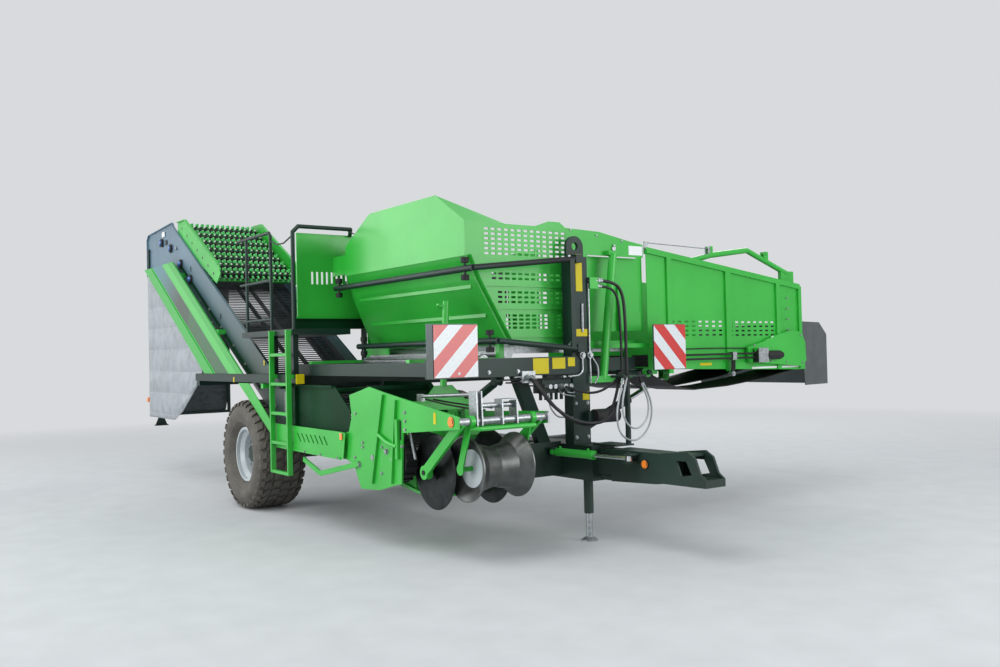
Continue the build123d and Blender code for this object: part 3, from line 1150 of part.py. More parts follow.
# --------------------------------------------------------------------- build
def build_all():
    parts = {
        "main_frame": main_frame(),
        "pivot_pins": pivot_pins(),
        "axle_beam": axle_beam(),
        "web_channel": web_channel(),
        "main_web": main_web(),
        "web_roller_low": web_roller(MAIN_WEB[0]),
        "web_roller_top": web_roller(MAIN_WEB[2]),
        "roller_bed_frame": roller_bed_frame(),
        "platform": platform(),
        "railing": railing(),
        "ladder": ladder(),
        "transfer_channel": transfer_channel(),
        "transfer_belt": transfer_belt(),
        "bunker": bunker(),
        "bunker_floor": bunker_floor() + tail_drum(),
        "bunker_hood": bunker_hood(),
        "trough": trough(),
        "trough_gear": trough_link() + trough_drive(),
        "trough_flap": trough_flap(),
        "trough_belt": trough_belt(),
        "dig_frame": dig_frame(),
        "depth_brackets": depth_brackets(),
        "dig_web": dig_web(),
        "dig_web_roller_front": dig_web_roller(0),
        "dig_web_roller_rear": dig_web_roller(1),
        "disc_right": disc(0),
        "disc_left": disc(1),
        "haulm_roller": haulm_roller(),
        "diabolo_roller": diabolo(),
        "roller_arm": roller_arm(),
        "drawbar": drawbar(),
        "steer_tube": tube_part(*STEER_CYL),
        "steer_rod": rod_part(*STEER_CYL),
        "lift_tube": tube_part(*LIFT_CYL),
        "lift_rod": rod_part(*LIFT_CYL),
        "trough_tube": tube_part(*TROUGH_CYL),
        "trough_rod": rod_part(*TROUGH_CYL),
        "jack_leg": jack_leg(),
        "side_cover": side_cover(),
        "rear_frame": rear_frame(),
        "curtain_side": curtain_side(),
        "curtain_rear": curtain_rear(),
        "wheel_guard": wheel_guard(),
        "intake_sides": intake_sides() + tool_box(),
        "boards": boards(),
        "guard_rail": guard_rail(),
        "hoses_high": Compound(children=[hose(*HOSE_TO_TROUGH), hose(*HOSE_BESIDE_IT)]),
        "hoses_parked": Compound(children=[hose(*HOSE_FEED), hose(*HOSE_RETURN), hose(*HOSE_VALVE),
                                           hose(*LOOP_WIDE), hose(*LOOP_NARROW)]),
        "hydraulics": Compound(children=[valve_block(), oil_filter(), hose_stand()]),
    }
    for name, side in (("right", -1), ("left", 1)):
        parts["tyre_" + name] = tyre(side)
        parts["rim_" + name] = rim(side)
    for i in range(BED_ROLLERS):
        parts["bed_roller_%d" % (i + 1)] = bed_roller(i)
    return parts


if __name__ == "__main__":
    for name, shape in build_all().items():
        export_step(Pos(-ORIGIN[0], -ORIGIN[1], 0) * shape, "parts/" + name + ".step")
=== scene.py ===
"""Trailed potato harvester: finishes, webs, tyres, curtains, hoses and fittings
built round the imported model. Places are in the machine's own millimetres, X forward,
Y to its left and Z up from the ground under the wheel axle, unless a comment says
that they are in the frame's metres."""
import json
import math

import bmesh
import bpy
from mathutils import Matrix, Vector, noise


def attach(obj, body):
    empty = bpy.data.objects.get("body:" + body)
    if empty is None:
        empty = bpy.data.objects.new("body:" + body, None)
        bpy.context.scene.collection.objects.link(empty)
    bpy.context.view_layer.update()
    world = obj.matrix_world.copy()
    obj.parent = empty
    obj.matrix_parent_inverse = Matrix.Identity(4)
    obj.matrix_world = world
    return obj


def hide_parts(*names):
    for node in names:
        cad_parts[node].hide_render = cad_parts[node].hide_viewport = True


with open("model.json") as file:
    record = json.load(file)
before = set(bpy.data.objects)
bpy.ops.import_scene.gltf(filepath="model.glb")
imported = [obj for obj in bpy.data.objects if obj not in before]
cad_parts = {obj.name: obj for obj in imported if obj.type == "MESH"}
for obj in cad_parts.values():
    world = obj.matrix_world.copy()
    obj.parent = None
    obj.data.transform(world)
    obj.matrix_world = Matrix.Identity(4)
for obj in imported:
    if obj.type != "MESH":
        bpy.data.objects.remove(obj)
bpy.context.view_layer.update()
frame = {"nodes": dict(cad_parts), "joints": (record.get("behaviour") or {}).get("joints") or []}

NODES = frame["nodes"]
JOINTS = {joint["name"]: joint for joint in frame["joints"]}
MM = 0.001
ORIGIN = Vector((607.5, 1275.0, 0.0))   # the frame's own zero
FORWARD, LEFT, UP = Vector((1, 0, 0)), Vector((0, 1, 0)), Vector((0, 0, 1))
RIGHT = -LEFT


def machine(x, y, z):
    """A place in the machine's millimetres, as a point of the frame in metres."""
    return (Vector((x, y, z)) - ORIGIN) * MM


def in_machine(point):
    """A point of the frame, in the machine's millimetres."""
    return point / MM + ORIGIN


def pivot(joint):
    """A point on a joint's axis, in the machine's millimetres."""
    return in_machine(Vector(JOINTS[joint]["pos_m"]))


# ------------------------------------------------------------ camera and light
CAMERA_AT = machine(10323, -5307, 1655)
CAMERA_YAW, CAMERA_PITCH, CAMERA_ROLL = 35.65, 1.195, -1.3225
CAMERA_LENS, SENSOR_WIDTH = 34.35, 36.0
LAMPS_AIM = Vector((0, 0, 1.6))         # in the frame's metres
# name, place and width in the frame's metres, watts
LAMPS = (
    ("key_sky", (5, -8, 12), 9.0, 820),
    ("low_right", (1, -13, 1.6), 7.0, 640),
    ("fill_right", (-9, -10, 5), 8.0, 430),
    ("fill_front", (13, 3, 4), 7.0, 600),
    ("rim_back", (-6, 11, 9), 8.0, 640),
)


def make_camera():
    """Camera at eye height, right of the machine's front."""
    yaw, pitch, roll = (math.radians(a) for a in (CAMERA_YAW, CAMERA_PITCH, CAMERA_ROLL))
    look = Vector((-math.cos(yaw) * math.cos(pitch), math.sin(yaw) * math.cos(pitch), math.sin(pitch)))
    across = look.cross(UP).normalized()
    up = across.cross(look)
    tilted_across = across * math.cos(roll) + up * math.sin(roll)
    tilted_up = up * math.cos(roll) - across * math.sin(roll)
    data = bpy.data.cameras.new("view")
    data.lens = CAMERA_LENS
    data.sensor_width = SENSOR_WIDTH
    data.clip_end = 200.0
    camera = bpy.data.objects.new("view", data)
    turn = Matrix((tilted_across, tilted_up, -look)).transposed()
    camera.matrix_world = Matrix.Translation(CAMERA_AT) @ turn.to_4x4()
    bpy.context.scene.collection.objects.link(camera)
    bpy.context.scene.camera = camera


def make_lights():
    """Large soft discs all round: none is bright enough to burn out the paint."""
    for name, place, size, watts in LAMPS:
        data = bpy.data.lights.new(name, "AREA")
        data.shape = "DISK"
        data.size = size
        data.energy = watts
        lamp = bpy.data.objects.new(name, data)
        lamp.location = place
        lamp.rotation_euler = (LAMPS_AIM - Vector(place)).to_track_quat("-Z", "Y").to_euler()
        bpy.context.scene.collection.objects.link(lamp)


# ---------------------------------------------------------------------- hoses
# diameter, then the points that each hose goes round, as the model has them
HOSE_TO_TROUGH = (30, [
    (3880, 400, 2290), (3880, 590, 2290), (3893, 700, 2190), (3902, 712, 1900), (3900, 715, 1650),
    (3900, 715, 1430)])
HOSE_BESIDE_IT = (24, [
    (3870, 400, 2240), (3870, 560, 2240), (3880, 650, 2150), (3880, 668, 1900), (3885, 670, 1660),
    (3885, 670, 1430)])
HOSE_FEED = (30, [
    (3900, -430, 1450), (4040, -440, 1410), (4150, -390, 1230), (4200, -190, 1080), (4205, 60, 1035),
    (4235, 220, 1090), (4300, 290, 1260), (4325, 325, 1430)])
HOSE_RETURN = (26, [
    (3900, -380, 1450), (4000, -385, 1395), (4085, -320, 1220), (4130, -150, 1070), (4135, 70, 1020),
    (4170, 230, 1075), (4215, 285, 1240), (4232, 320, 1430)])
HOSE_VALVE = (22, [
    (3930, -84, 1360), (4020, -84, 1360), (4090, 30, 1300), (4150, 150, 1300), (4215, 250, 1370),
    (4262, 290, 1430)])
LOOP_WIDE = (16, [
    (4330, 270, 1430), (4345, 215, 1290), (4352, 160, 1120), (4350, 190, 960), (4345, 320, 880),
    (4340, 460, 900), (4338, 570, 1010), (4335, 600, 1170), (4332, 540, 1320), (4330, 460, 1430)])
LOOP_NARROW = (16, [
    (4355, 290, 1430), (4368, 240, 1310), (4375, 205, 1180), (4374, 235, 1060), (4370, 330, 985),
    (4368, 440, 1000), (4366, 520, 1090), (4362, 530, 1220), (4358, 470, 1340), (4356, 430, 1430)])
# name, route, real length in metres, how far it bends, node it stands for
HOSES = (
    ("hose_to_trough", HOSE_TO_TROUGH, 1.086, "stiff", "hoses_high"),
    ("hose_beside_it", HOSE_BESIDE_IT, 0.997, "stiff", "hoses_high"),
    ("hose_feed", HOSE_FEED, 1.381, "medium", "hoses_parked"),
    ("hose_return", HOSE_RETURN, 1.294, "medium", "hoses_parked"),
    ("hose_valve", HOSE_VALVE, 0.582, "medium", "hoses_parked"),
    ("cable_wide", LOOP_WIDE, 1.373, "medium", "hoses_parked"),
    ("cable_narrow", LOOP_NARROW, 1.082, "medium", "hoses_parked"),
)


def make_hose(name, route, length, stiffness, node):
    """A hose as one smooth bevelled spline through its route's points."""
    diameter, points = route
    curve = bpy.data.curves.new(name, "CURVE")
    curve.dimensions = "3D"
    curve.bevel_depth = diameter * MM / 2
    curve.bevel_resolution = 4
    curve.resolution_u = 12
    curve.use_fill_caps = True
    spline = curve.splines.new("NURBS")
    spline.points.add(len(points) - 1)
    for point, place in zip(spline.points, points):
        point.co = (*machine(*place), 1.0)
    spline.order_u = 3
    spline.use_endpoint_u = True
    piece = bpy.data.objects.new(name, curve)
    bpy.context.scene.collection.objects.link(piece)
    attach(piece, "chassis")
    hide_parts(node)
    return piece


def make_hoses():
    """All hoses and cables, which take their rubber or PVC once it is made."""
    return [make_hose(*row) for row in HOSES]


# -------------------------------------------------------------------- shading
FIELD_DUST, TREAD_DUST = "8a8672", "8f8873"
DUST_TOP, DUST_FULL = 1.1, 0.1          # metres: dust thickens from the one height down to the other
PEEL_WIDTH = 7.0                        # orange-peel of sprayed enamel, drawn wide enough to show
FOIL_THREAD = 8.9                       # tapes of the foil, drawn wide enough to show
FOIL_SEAM_PITCH = 0.3                   # metres
COVER_HIGH, COVER_LOW = (-3960, 2985), (-1400, 1492)    # ends of the drive cover's lower edge, x and z
COVER_FALL = (COVER_HIGH[1] - COVER_LOW[1]) / (COVER_LOW[0] - COVER_HIGH[0])


def srgb(code):
    """A colour written as sRGB hex, as linear RGBA."""
    values = [int(code[i:i + 2], 16) / 255 for i in (0, 2, 4)]
    return tuple(v / 12.92 if v <= 0.04045 else ((v + 0.055) / 1.055) ** 2.4 for v in values) + (1.0,)


def per_metre(millimetres):
    """Texture scale that makes one feature this many millimetres wide."""
    return 1000.0 / millimetres


def bands(millimetres):
    """Wave texture scale that makes one straight band this many millimetres wide."""
    return per_metre(millimetres) * math.pi / 10


def add(tree, kind, inputs=None, stops=(), **settings):
    """Adds a shader node. An input is a socket to link or a value to set, and stops
    are a colour ramp's places, each with its sRGB hex colour."""
    made = tree.nodes.new("ShaderNode" + kind)
    for key, value in settings.items():
        setattr(made, key, value)
    for key, value in (inputs or {}).items():
        if isinstance(value, bpy.types.NodeSocket):
            tree.links.new(value, made.inputs[key])
        else:
            made.inputs[key].default_value = value
    if stops:
        elements = made.color_ramp.elements
        while len(elements) < len(stops):
            elements.new(0.5)
        for element, (place, code) in zip(elements, stops):
            element.position = place
            element.color = srgb(code)
    return made


def new_material(name):
    """A material with nothing in it yet, and its tree."""
    material = bpy.data.materials.new(name)
    material.use_nodes = True
    material.node_tree.nodes.clear()
    return material, material.node_tree


def cover_with(tree, inputs):
    """Ends a material's tree with its Principled shader."""
    shader = add(tree, "BsdfPrincipled", inputs)
    add(tree, "OutputMaterial", {"Surface": shader.outputs[0]})


def enamel(name, light, dark, roughness=0.34, coat=0.2, dust=0.10, low=None, mirror=0.5):
    """Sprayed and baked two-coat enamel on sheet steel: even and bright, with a faint
    orange-peel that breaks up the highlights and a little field dust low down. low is
    (height, height, tone): painted shade, in which the sheet darkens to that tone from the first height down
    to the second."""
    material, tree = new_material(name)
    place = add(tree, "TexCoord").outputs["Object"]
    cloud = add(tree, "TexNoise", {"Vector": place, "Scale": per_metre(650), "Detail": 4.0})
    paint = add(tree, "ValToRGB", {"Fac": cloud.outputs["Fac"]}, [(0.35, dark), (0.65, light)]).outputs[0]
    height = add(tree, "SeparateXYZ", {"Vector": place}).outputs["Z"]
    if low:
        start, end, tone = low
        deep = add(tree, "MapRange", {"Value": height, "From Min": start, "From Max": end}).outputs[0]
        paint = add(tree, "Mix", {"Factor": deep, 6: paint, 7: srgb(tone)}, data_type="RGBA").outputs[2]
    soiled = add(tree, "MapRange", {"Value": height, "From Min": DUST_TOP, "From Max": DUST_FULL,
                                    "To Min": 0.0, "To Max": dust})
    speck = add(tree, "TexNoise", {"Vector": place, "Scale": per_metre(60), "Detail": 8.0, "Roughness": 0.7})
    cover = add(tree, "Math", {0: soiled.outputs[0], 1: speck.outputs["Fac"]}, operation="MULTIPLY")
    dusty = add(tree, "Mix", {"Factor": cover.outputs[0], 6: paint, 7: srgb(FIELD_DUST)}, data_type="RGBA")
    rough = add(tree, "MapRange", {"Value": speck.outputs["Fac"], "To Min": roughness - 0.06,
                                   "To Max": roughness + 0.08})
    peel = add(tree, "TexNoise", {"Vector": place, "Scale": per_metre(PEEL_WIDTH), "Detail": 2.0})
    bump = add(tree, "Bump", {"Height": peel.outputs["Fac"], "Strength": 0.06, "Distance": 0.001})
    cover_with(tree, {"Base Color": dusty.outputs[2], "Roughness": rough.outputs[0],
                      "Normal": bump.outputs[0], "Coat Weight": coat, "Coat Roughness": 0.18,
                      "Specular IOR Level": mirror})
    return material


def rubber(name, light, dark, roughness=0.72, grain=9.0, dust=0.0):
    """Vulcanised rubber: dull, slightly mottled, greyed with dust where asked."""
    material, tree = new_material(name)
    place = add(tree, "TexCoord").outputs["Object"]
    cloud = add(tree, "TexNoise", {"Vector": place, "Scale": per_metre(140), "Detail": 6.0,
                                   "Roughness": 0.65})
    base = add(tree, "ValToRGB", {"Fac": cloud.outputs["Fac"]}, [(0.3, dark), (0.7, light)])
    fine = add(tree, "TexNoise", {"Vector": place, "Scale": per_metre(grain), "Detail": 3.0})
    spots = add(tree, "MapRange", {"Value": fine.outputs["Fac"], "From Min": 0.55, "From Max": 0.75,
                                   "To Min": 0.0, "To Max": dust})
    dusty = add(tree, "Mix", {"Factor": spots.outputs[0], 6: base.outputs[0], 7: srgb(TREAD_DUST)},
                data_type="RGBA")
    rough = add(tree, "MapRange", {"Value": fine.outputs["Fac"], "To Min": roughness - 0.08,
                                   "To Max": roughness + 0.1})
    bump = add(tree, "Bump", {"Height": fine.outputs["Fac"], "Strength": 0.15, "Distance": 0.002})
    cover_with(tree, {"Base Color": dusty.outputs[2], "Roughness": rough.outputs[0],
                      "Normal": bump.outputs[0], "Specular IOR Level": 0.35})
    return material


def galvanised(name):
    """Hot-dip zinc: pale crystals of slightly different grey, soft shine."""
    material, tree = new_material(name)
    place = add(tree, "TexCoord").outputs["Object"]
    spangle = add(tree, "TexVoronoi", {"Vector": place, "Scale": per_metre(14)})
    tone = add(tree, "ValToRGB", {"Fac": spangle.outputs["Color"]}, [(0.2, "8f9598"), (0.8, "adb1b3")])
    rough = add(tree, "MapRange", {"Value": spangle.outputs["Distance"], "To Min": 0.34, "To Max": 0.44})
    cover_with(tree, {"Base Color": tone.outputs[0], "Roughness": rough.outputs[0], "Metallic": 0.85})
    return material


def hard_chrome(name):
    """Ground and hard-chromed rod: bright, with faint lengthwise polishing."""
    material, tree = new_material(name)
    place = add(tree, "TexCoord").outputs["Object"]
    streak = add(tree, "TexNoise", {"Vector": place, "Scale": per_metre(5), "Detail": 3.0})
    rough = add(tree, "MapRange", {"Value": streak.outputs["Fac"], "To Min": 0.08, "To Max": 0.2})
    cover_with(tree, {"Base Color": srgb("d6d8da"), "Roughness": rough.outputs[0], "Metallic": 1.0})
    return material


def rolled_steel(name, light, dark):
    """Bare rolled steel, polished by soil: cloudy, with a fine grain that dulls its shine."""
    material, tree = new_material(name)
    place = add(tree, "TexCoord").outputs["Object"]
    cloud = add(tree, "TexNoise", {"Vector": place, "Scale": per_metre(90), "Detail": 5.0})
    tone = add(tree, "ValToRGB", {"Fac": cloud.outputs["Fac"]}, [(0.3, dark), (0.7, light)])
    rough = add(tree, "MapRange", {"Value": cloud.outputs["Fac"], "To Min": 0.26, "To Max": 0.44})
    grain = add(tree, "TexNoise", {"Vector": place, "Scale": per_metre(4), "Detail": 2.0})
    bump = add(tree, "Bump", {"Height": grain.outputs["Fac"], "Strength": 0.08, "Distance": 0.0006})
    cover_with(tree, {"Base Color": tone.outputs[0], "Roughness": rough.outputs[0], "Normal": bump.outputs[0],
                      "Metallic": 0.9})
    return material


def woven_foil(name, light, dark):
    """Coated open-weave foil: pale, crumpled, with a visible cross of tapes and a sewn
    seam across it, as a narrow line, at every tuck."""
    material, tree = new_material(name)
    place = add(tree, "TexCoord").outputs["Object"]
    warp, weft = (add(tree, "TexWave", {"Vector": place, "Scale": bands(FOIL_THREAD), "Distortion": 0.6,
                                        "Detail": 1.0}, bands_direction=axis) for axis in ("X", "Z"))
    weave = add(tree, "Math", {0: warp.outputs["Fac"], 1: weft.outputs["Fac"]}, operation="MULTIPLY")
    cloud = add(tree, "TexNoise", {"Vector": place, "Scale": per_metre(160), "Detail": 5.0})
    blend = add(tree, "Math", {0: weave.outputs[0], 1: cloud.outputs["Fac"]}, operation="ADD")
    tone = add(tree, "ValToRGB", {"Fac": blend.outputs[0]}, [(0.4, dark), (0.8, light)])
    height = add(tree, "SeparateXYZ", {"Vector": place})
    tucks = add(tree, "Math", {0: height.outputs["Z"], 1: FOIL_SEAM_PITCH}, operation="DIVIDE")
    rise = add(tree, "Math", {0: tucks.outputs[0]}, operation="FRACT")
    seam = add(tree, "Math", {0: rise.outputs[0], 1: 0.035}, operation="LESS_THAN")
    sewn = add(tree, "Mix", {"Factor": seam.outputs[0], 6: tone.outputs[0], 7: srgb(light)}, data_type="RGBA")
    bump = add(tree, "Bump", {"Height": blend.outputs[0], "Strength": 0.25, "Distance": 0.003})
    cover_with(tree, {"Base Color": sewn.outputs[2], "Normal": bump.outputs[0], "Roughness": 0.55,
                      "Sheen Weight": 0.15})
    return material


def board_foil(name, lean, start):
    """Reflective foil on the warning boards: slanted red and white bars with a
    fine cell pattern. lean is +1 or -1 for the side the bars fall to, and start
    shifts them along by a share of one red and white pair."""
    bar = 0.1
    material, tree = new_material(name)
    place = add(tree, "TexCoord").outputs["Object"]
    parts = add(tree, "SeparateXYZ", {"Vector": place})
    side = add(tree, "Math", {0: parts.outputs["Y"], 1: float(lean)}, operation="MULTIPLY")
    slant = add(tree, "Math", {0: parts.outputs["Z"], 1: side.outputs[0]}, operation="ADD")
    pairs = add(tree, "Math", {0: slant.outputs[0], 1: 2 * bar * math.sqrt(2)}, operation="DIVIDE")
    phase = add(tree, "Math", {0: pairs.outputs[0], 1: start}, operation="ADD")
    saw = add(tree, "Math", {0: phase.outputs[0]}, operation="FRACT")
    red = add(tree, "Math", {0: saw.outputs[0], 1: 0.5}, operation="GREATER_THAN")
    cells = add(tree, "TexVoronoi", {"Vector": place, "Scale": per_metre(7)})
    white = add(tree, "ValToRGB", {"Fac": cells.outputs["Distance"]}, [(0.0, "e8ecee"), (0.6, "c9d0d4")])
    crimson = add(tree, "ValToRGB", {"Fac": cells.outputs["Distance"]}, [(0.0, "d8291f"), (0.6, "b81c18")])
    bars = add(tree, "Mix", {"Factor": red.outputs[0], 6: white.outputs[0], 7: crimson.outputs[0]},
               data_type="RGBA")
    cover_with(tree, {"Base Color": bars.outputs[2], "Roughness": 0.32, "Coat Weight": 0.5,
                      "Coat Roughness": 0.1})
    return material


def striped_cover(name):
    """Vinyl bands on the drive cover's enamel: bright, mid and dark green that run
    along the slope, as broad stripes with clean edges. The upper bright band has a lighter
    centre, a painted highlight. The middle band deepens from slate at the top, a painted
    sky reflection, to dark green, finely hatched at its foot."""
    wide, long = 1.31 * COVER_FALL, 2.56 * (1 + COVER_FALL ** 2)
    middle_from, middle_to, hatch_from = 0.29, 0.63, 0.70
    material, tree = new_material(name)
    place = add(tree, "TexCoord").outputs["Object"]
    parts = add(tree, "SeparateXYZ", {"Vector": place})
    top = machine(COVER_HIGH[0], 0, COVER_HIGH[1])
    ahead = add(tree, "Math", {0: parts.outputs["X"], 1: -top.x}, operation="ADD")
    rise = add(tree, "Math", {0: parts.outputs["Z"], 1: -top.z}, operation="ADD")
    # share of the way across the slope, from the cover's lower long edge to the upper one
    drop = add(tree, "Math", {0: ahead.outputs[0], 1: COVER_FALL}, operation="MULTIPLY")
    over = add(tree, "Math", {0: rise.outputs[0], 1: drop.outputs[0]}, operation="ADD")
    across = add(tree, "Math", {0: over.outputs[0], 1: wide}, operation="DIVIDE").outputs[0]
    # the lighter step from 0.66 to 0.84 across is a painted highlight along the upper band
    bright = add(tree, "ValToRGB", {"Fac": across},
                 [(0.0, "29a236"), (0.30, "3cae44"), (0.66, "44b24b"), (0.84, "2a9e35")])
    bright.color_ramp.interpolation = "CONSTANT"
    # share of the way down the slope
    climb = add(tree, "Math", {0: rise.outputs[0], 1: -COVER_FALL}, operation="MULTIPLY")
    slid = add(tree, "Math", {0: ahead.outputs[0], 1: climb.outputs[0]}, operation="ADD")
    run = add(tree, "Math", {0: slid.outputs[0], 1: long}, operation="DIVIDE").outputs[0]
    # the slate at the top of the middle band is a painted sky reflection; down the slope it deepens to dark
    # green
    band = add(tree, "ValToRGB", {"Fac": run},
               [(0.0, "468a96"), (0.3, "447276"), (0.55, "343f35"), (0.75, "1d4429")])
    # a diagonal band comes out wider than a straight one by the root of two
    hatch = add(tree, "TexWave", {"Vector": place, "Scale": bands(17.77 / math.sqrt(2)), "Distortion": 0.0},
                bands_direction="DIAGONAL")
    lines = add(tree, "Math", {0: hatch.outputs["Fac"], 1: 0.6}, operation="GREATER_THAN")
    foot = add(tree, "Math", {0: run, 1: hatch_from}, operation="GREATER_THAN")
    hatched = add(tree, "Math", {0: lines.outputs[0], 1: foot.outputs[0]}, operation="MULTIPLY")
    ground = add(tree, "Mix", {"Factor": hatched.outputs[0], 6: band.outputs[0], 7: srgb("2c6b38")},
                 data_type="RGBA")
    above = add(tree, "Math", {0: across, 1: middle_from}, operation="GREATER_THAN")
    below = add(tree, "Math", {0: across, 1: middle_to}, operation="LESS_THAN")
    inside = add(tree, "Math", {0: above.outputs[0], 1: below.outputs[0]}, operation="MULTIPLY")
    stripes = add(tree, "Mix", {"Factor": inside.outputs[0], 6: bright.outputs[0], 7: ground.outputs[2]},
                  data_type="RGBA")
    peel = add(tree, "TexNoise", {"Vector": place, "Scale": per_metre(PEEL_WIDTH), "Detail": 2.0})
    bump = add(tree, "Bump", {"Height": peel.outputs["Fac"], "Strength": 0.06, "Distance": 0.001})
    cover_with(tree, {"Base Color": stripes.outputs[2], "Normal": bump.outputs[0], "Roughness": 0.36,
                      "Coat Weight": 0.15, "Coat Roughness": 0.18})
    return material


def clear_lens(name, code):
    """Moulded acrylic lens: deep colour with a ribbed inside."""
    material, tree = new_material(name)
    place = add(tree, "TexCoord").outputs["Object"]
    ribs = add(tree, "TexWave", {"Vector": place, "Scale": bands(9.425), "Distortion": 0.0})
    tone = add(tree, "Mix", {"Factor": ribs.outputs["Fac"], 6: srgb(code), 7: srgb("ff9a3c")},
               data_type="RGBA")
    cover_with(tree, {"Base Color": tone.outputs[2], "Roughness": 0.12, "Coat Weight": 0.8,
                      "Coat Roughness": 0.05})
    return material


GREEN = enamel("bright_green_enamel", "31af3a", "28a232", mirror=0.42)
DARK = enamel("anthracite_green_enamel", "163029", "10241f", roughness=0.46, coat=0.1, dust=0.12, mirror=0.3)
DEEP = enamel("deep_green_enamel", "0d3a20", "0a2e19", roughness=0.55, coat=0.0, dust=0.05, mirror=0.12)
# the slate is painted darker from 3.1 m down to 1.6 m, so that its top reads lighter: painted shade and a
# painted sky reflection
SLATE = enamel("slate_blue_enamel", "5a7788", "4f6a7a", roughness=0.36, low=(3.1, 1.6, "2b3f39"), mirror=0.4)
SILVER = enamel("silver_rim_lacquer", "b9c2c6", "aab3b8", roughness=0.32, dust=0.35)
YELLOW = enamel("yellow_plate_lacquer", "cdbe08", "c2b205", roughness=0.4, coat=0.05, dust=0.0, mirror=0.25)
WHITE = enamel("white_plate_lacquer", "e4e8e8", "d9dddd", roughness=0.3, dust=0.0)
BLUE = enamel("blue_cap_lacquer", "2f62a8", "27538f", roughness=0.3, dust=0.0)
TYRE = rubber("natural_rubber_tyre", "5d5a54", "47443f", dust=0.35)
BLACK = rubber("black_rubber", "1d1e1f", "121314", roughness=0.6)
APRON = rubber("grey_apron_rubber", "54595b", "464b4d", roughness=0.55)
HOSE = rubber("braided_black_hose", "232426", "17181a", roughness=0.42, grain=3.0)
PALE_HOSE = rubber("grey_pvc_cable", "b4b9bb", "8e9396", roughness=0.4, grain=3.0)
FINGERS = rubber("green_polyurethane", "62cf74", "46b45a", roughness=0.3)
# pale green for the fingers' tips: a painted highlight
HIGHLIGHT_TIPS = rubber("painted_highlight_tips", "cfe6cd", "a9d3a8", roughness=0.35)
CORES = rubber("black_polyurethane", "23282a", "17191a", roughness=0.45)
ZINC = galvanised("galvanised_steel")
CHROME = hard_chrome("chromed_rod")
STEEL = rolled_steel("rolled_roller_steel", "6a6d6b", "555856")
BLADE = rolled_steel("dark_coulter_steel", "3a3d3e", "232627")
WEB_STEEL = rolled_steel("web_bar_steel", "4d5152", "303434")
FOIL = woven_foil("pale_woven_foil", "9ba2a7", "747c82")
# the pale foil painted darker for the rear curtain: painted shade
SHADED_FOIL = woven_foil("shaded_woven_foil", "4a5254", "2c3335")
AMBER = clear_lens("amber_acrylic", "f07a12")
BOARD_RIGHT = board_foil("right_board_foil", -1, 0.077)
BOARD_LEFT = board_foil("left_board_foil", 1, 0.49)
COVER = striped_cover("banded_green_cover")

FINISH = {
    "main_frame": DARK, "pivot_pins": DARK, "axle_beam": DARK, "drawbar": DARK, "rear_frame": DARK,
    "intake_sides": DEEP, "guard_rail": DARK, "railing": DARK, "platform": DARK, "transfer_channel": DARK,
    "bunker_floor": ZINC, "hydraulics": DARK, "web_channel": SLATE, "wheel_guard": GREEN, "ladder": GREEN,
    "bunker": GREEN, "bunker_hood": GREEN, "trough": GREEN, "trough_gear": GREEN, "roller_bed_frame": GREEN,
    "dig_frame": GREEN, "roller_arm": GREEN, "depth_brackets": ZINC, "diabolo_roller": STEEL,
    "disc_right": BLADE, "disc_left": BLADE, "haulm_roller": BLACK, "trough_flap": APRON,
    "trough_belt": BLACK, "transfer_belt": BLACK, "boards": SLATE, "side_cover": COVER,
    "steer_tube": GREEN, "lift_tube": DARK, "trough_tube": DARK, "steer_rod": CHROME, "lift_rod": CHROME,
    "trough_rod": CHROME, "jack_leg": ZINC, "rim_right": SILVER, "rim_left": SILVER,
    "web_roller_low": ZINC, "web_roller_top": ZINC, "dig_web_roller_front": ZINC,
    "dig_web_roller_rear": ZINC,
}
FAR = 1e6
EVERYWHERE = (-FAR, FAR)
BOARD_FRONT = 3881.5                    # just behind the boards' front faces


def within(x=EVERYWHERE, y=EVERYWHERE, z=EVERYWHERE, facing=None):
    """A test for faces whose centre lies in these spans of the machine's millimetres
    and, where asked, that face a given way."""
    def test(polygon):
        centre = in_machine(polygon.center)
        placed = all(low < value < high for value, (low, high) in zip(centre, (x, y, z)))
        return placed and (facing is None or polygon.normal.dot(facing) > 0.9)
    return test


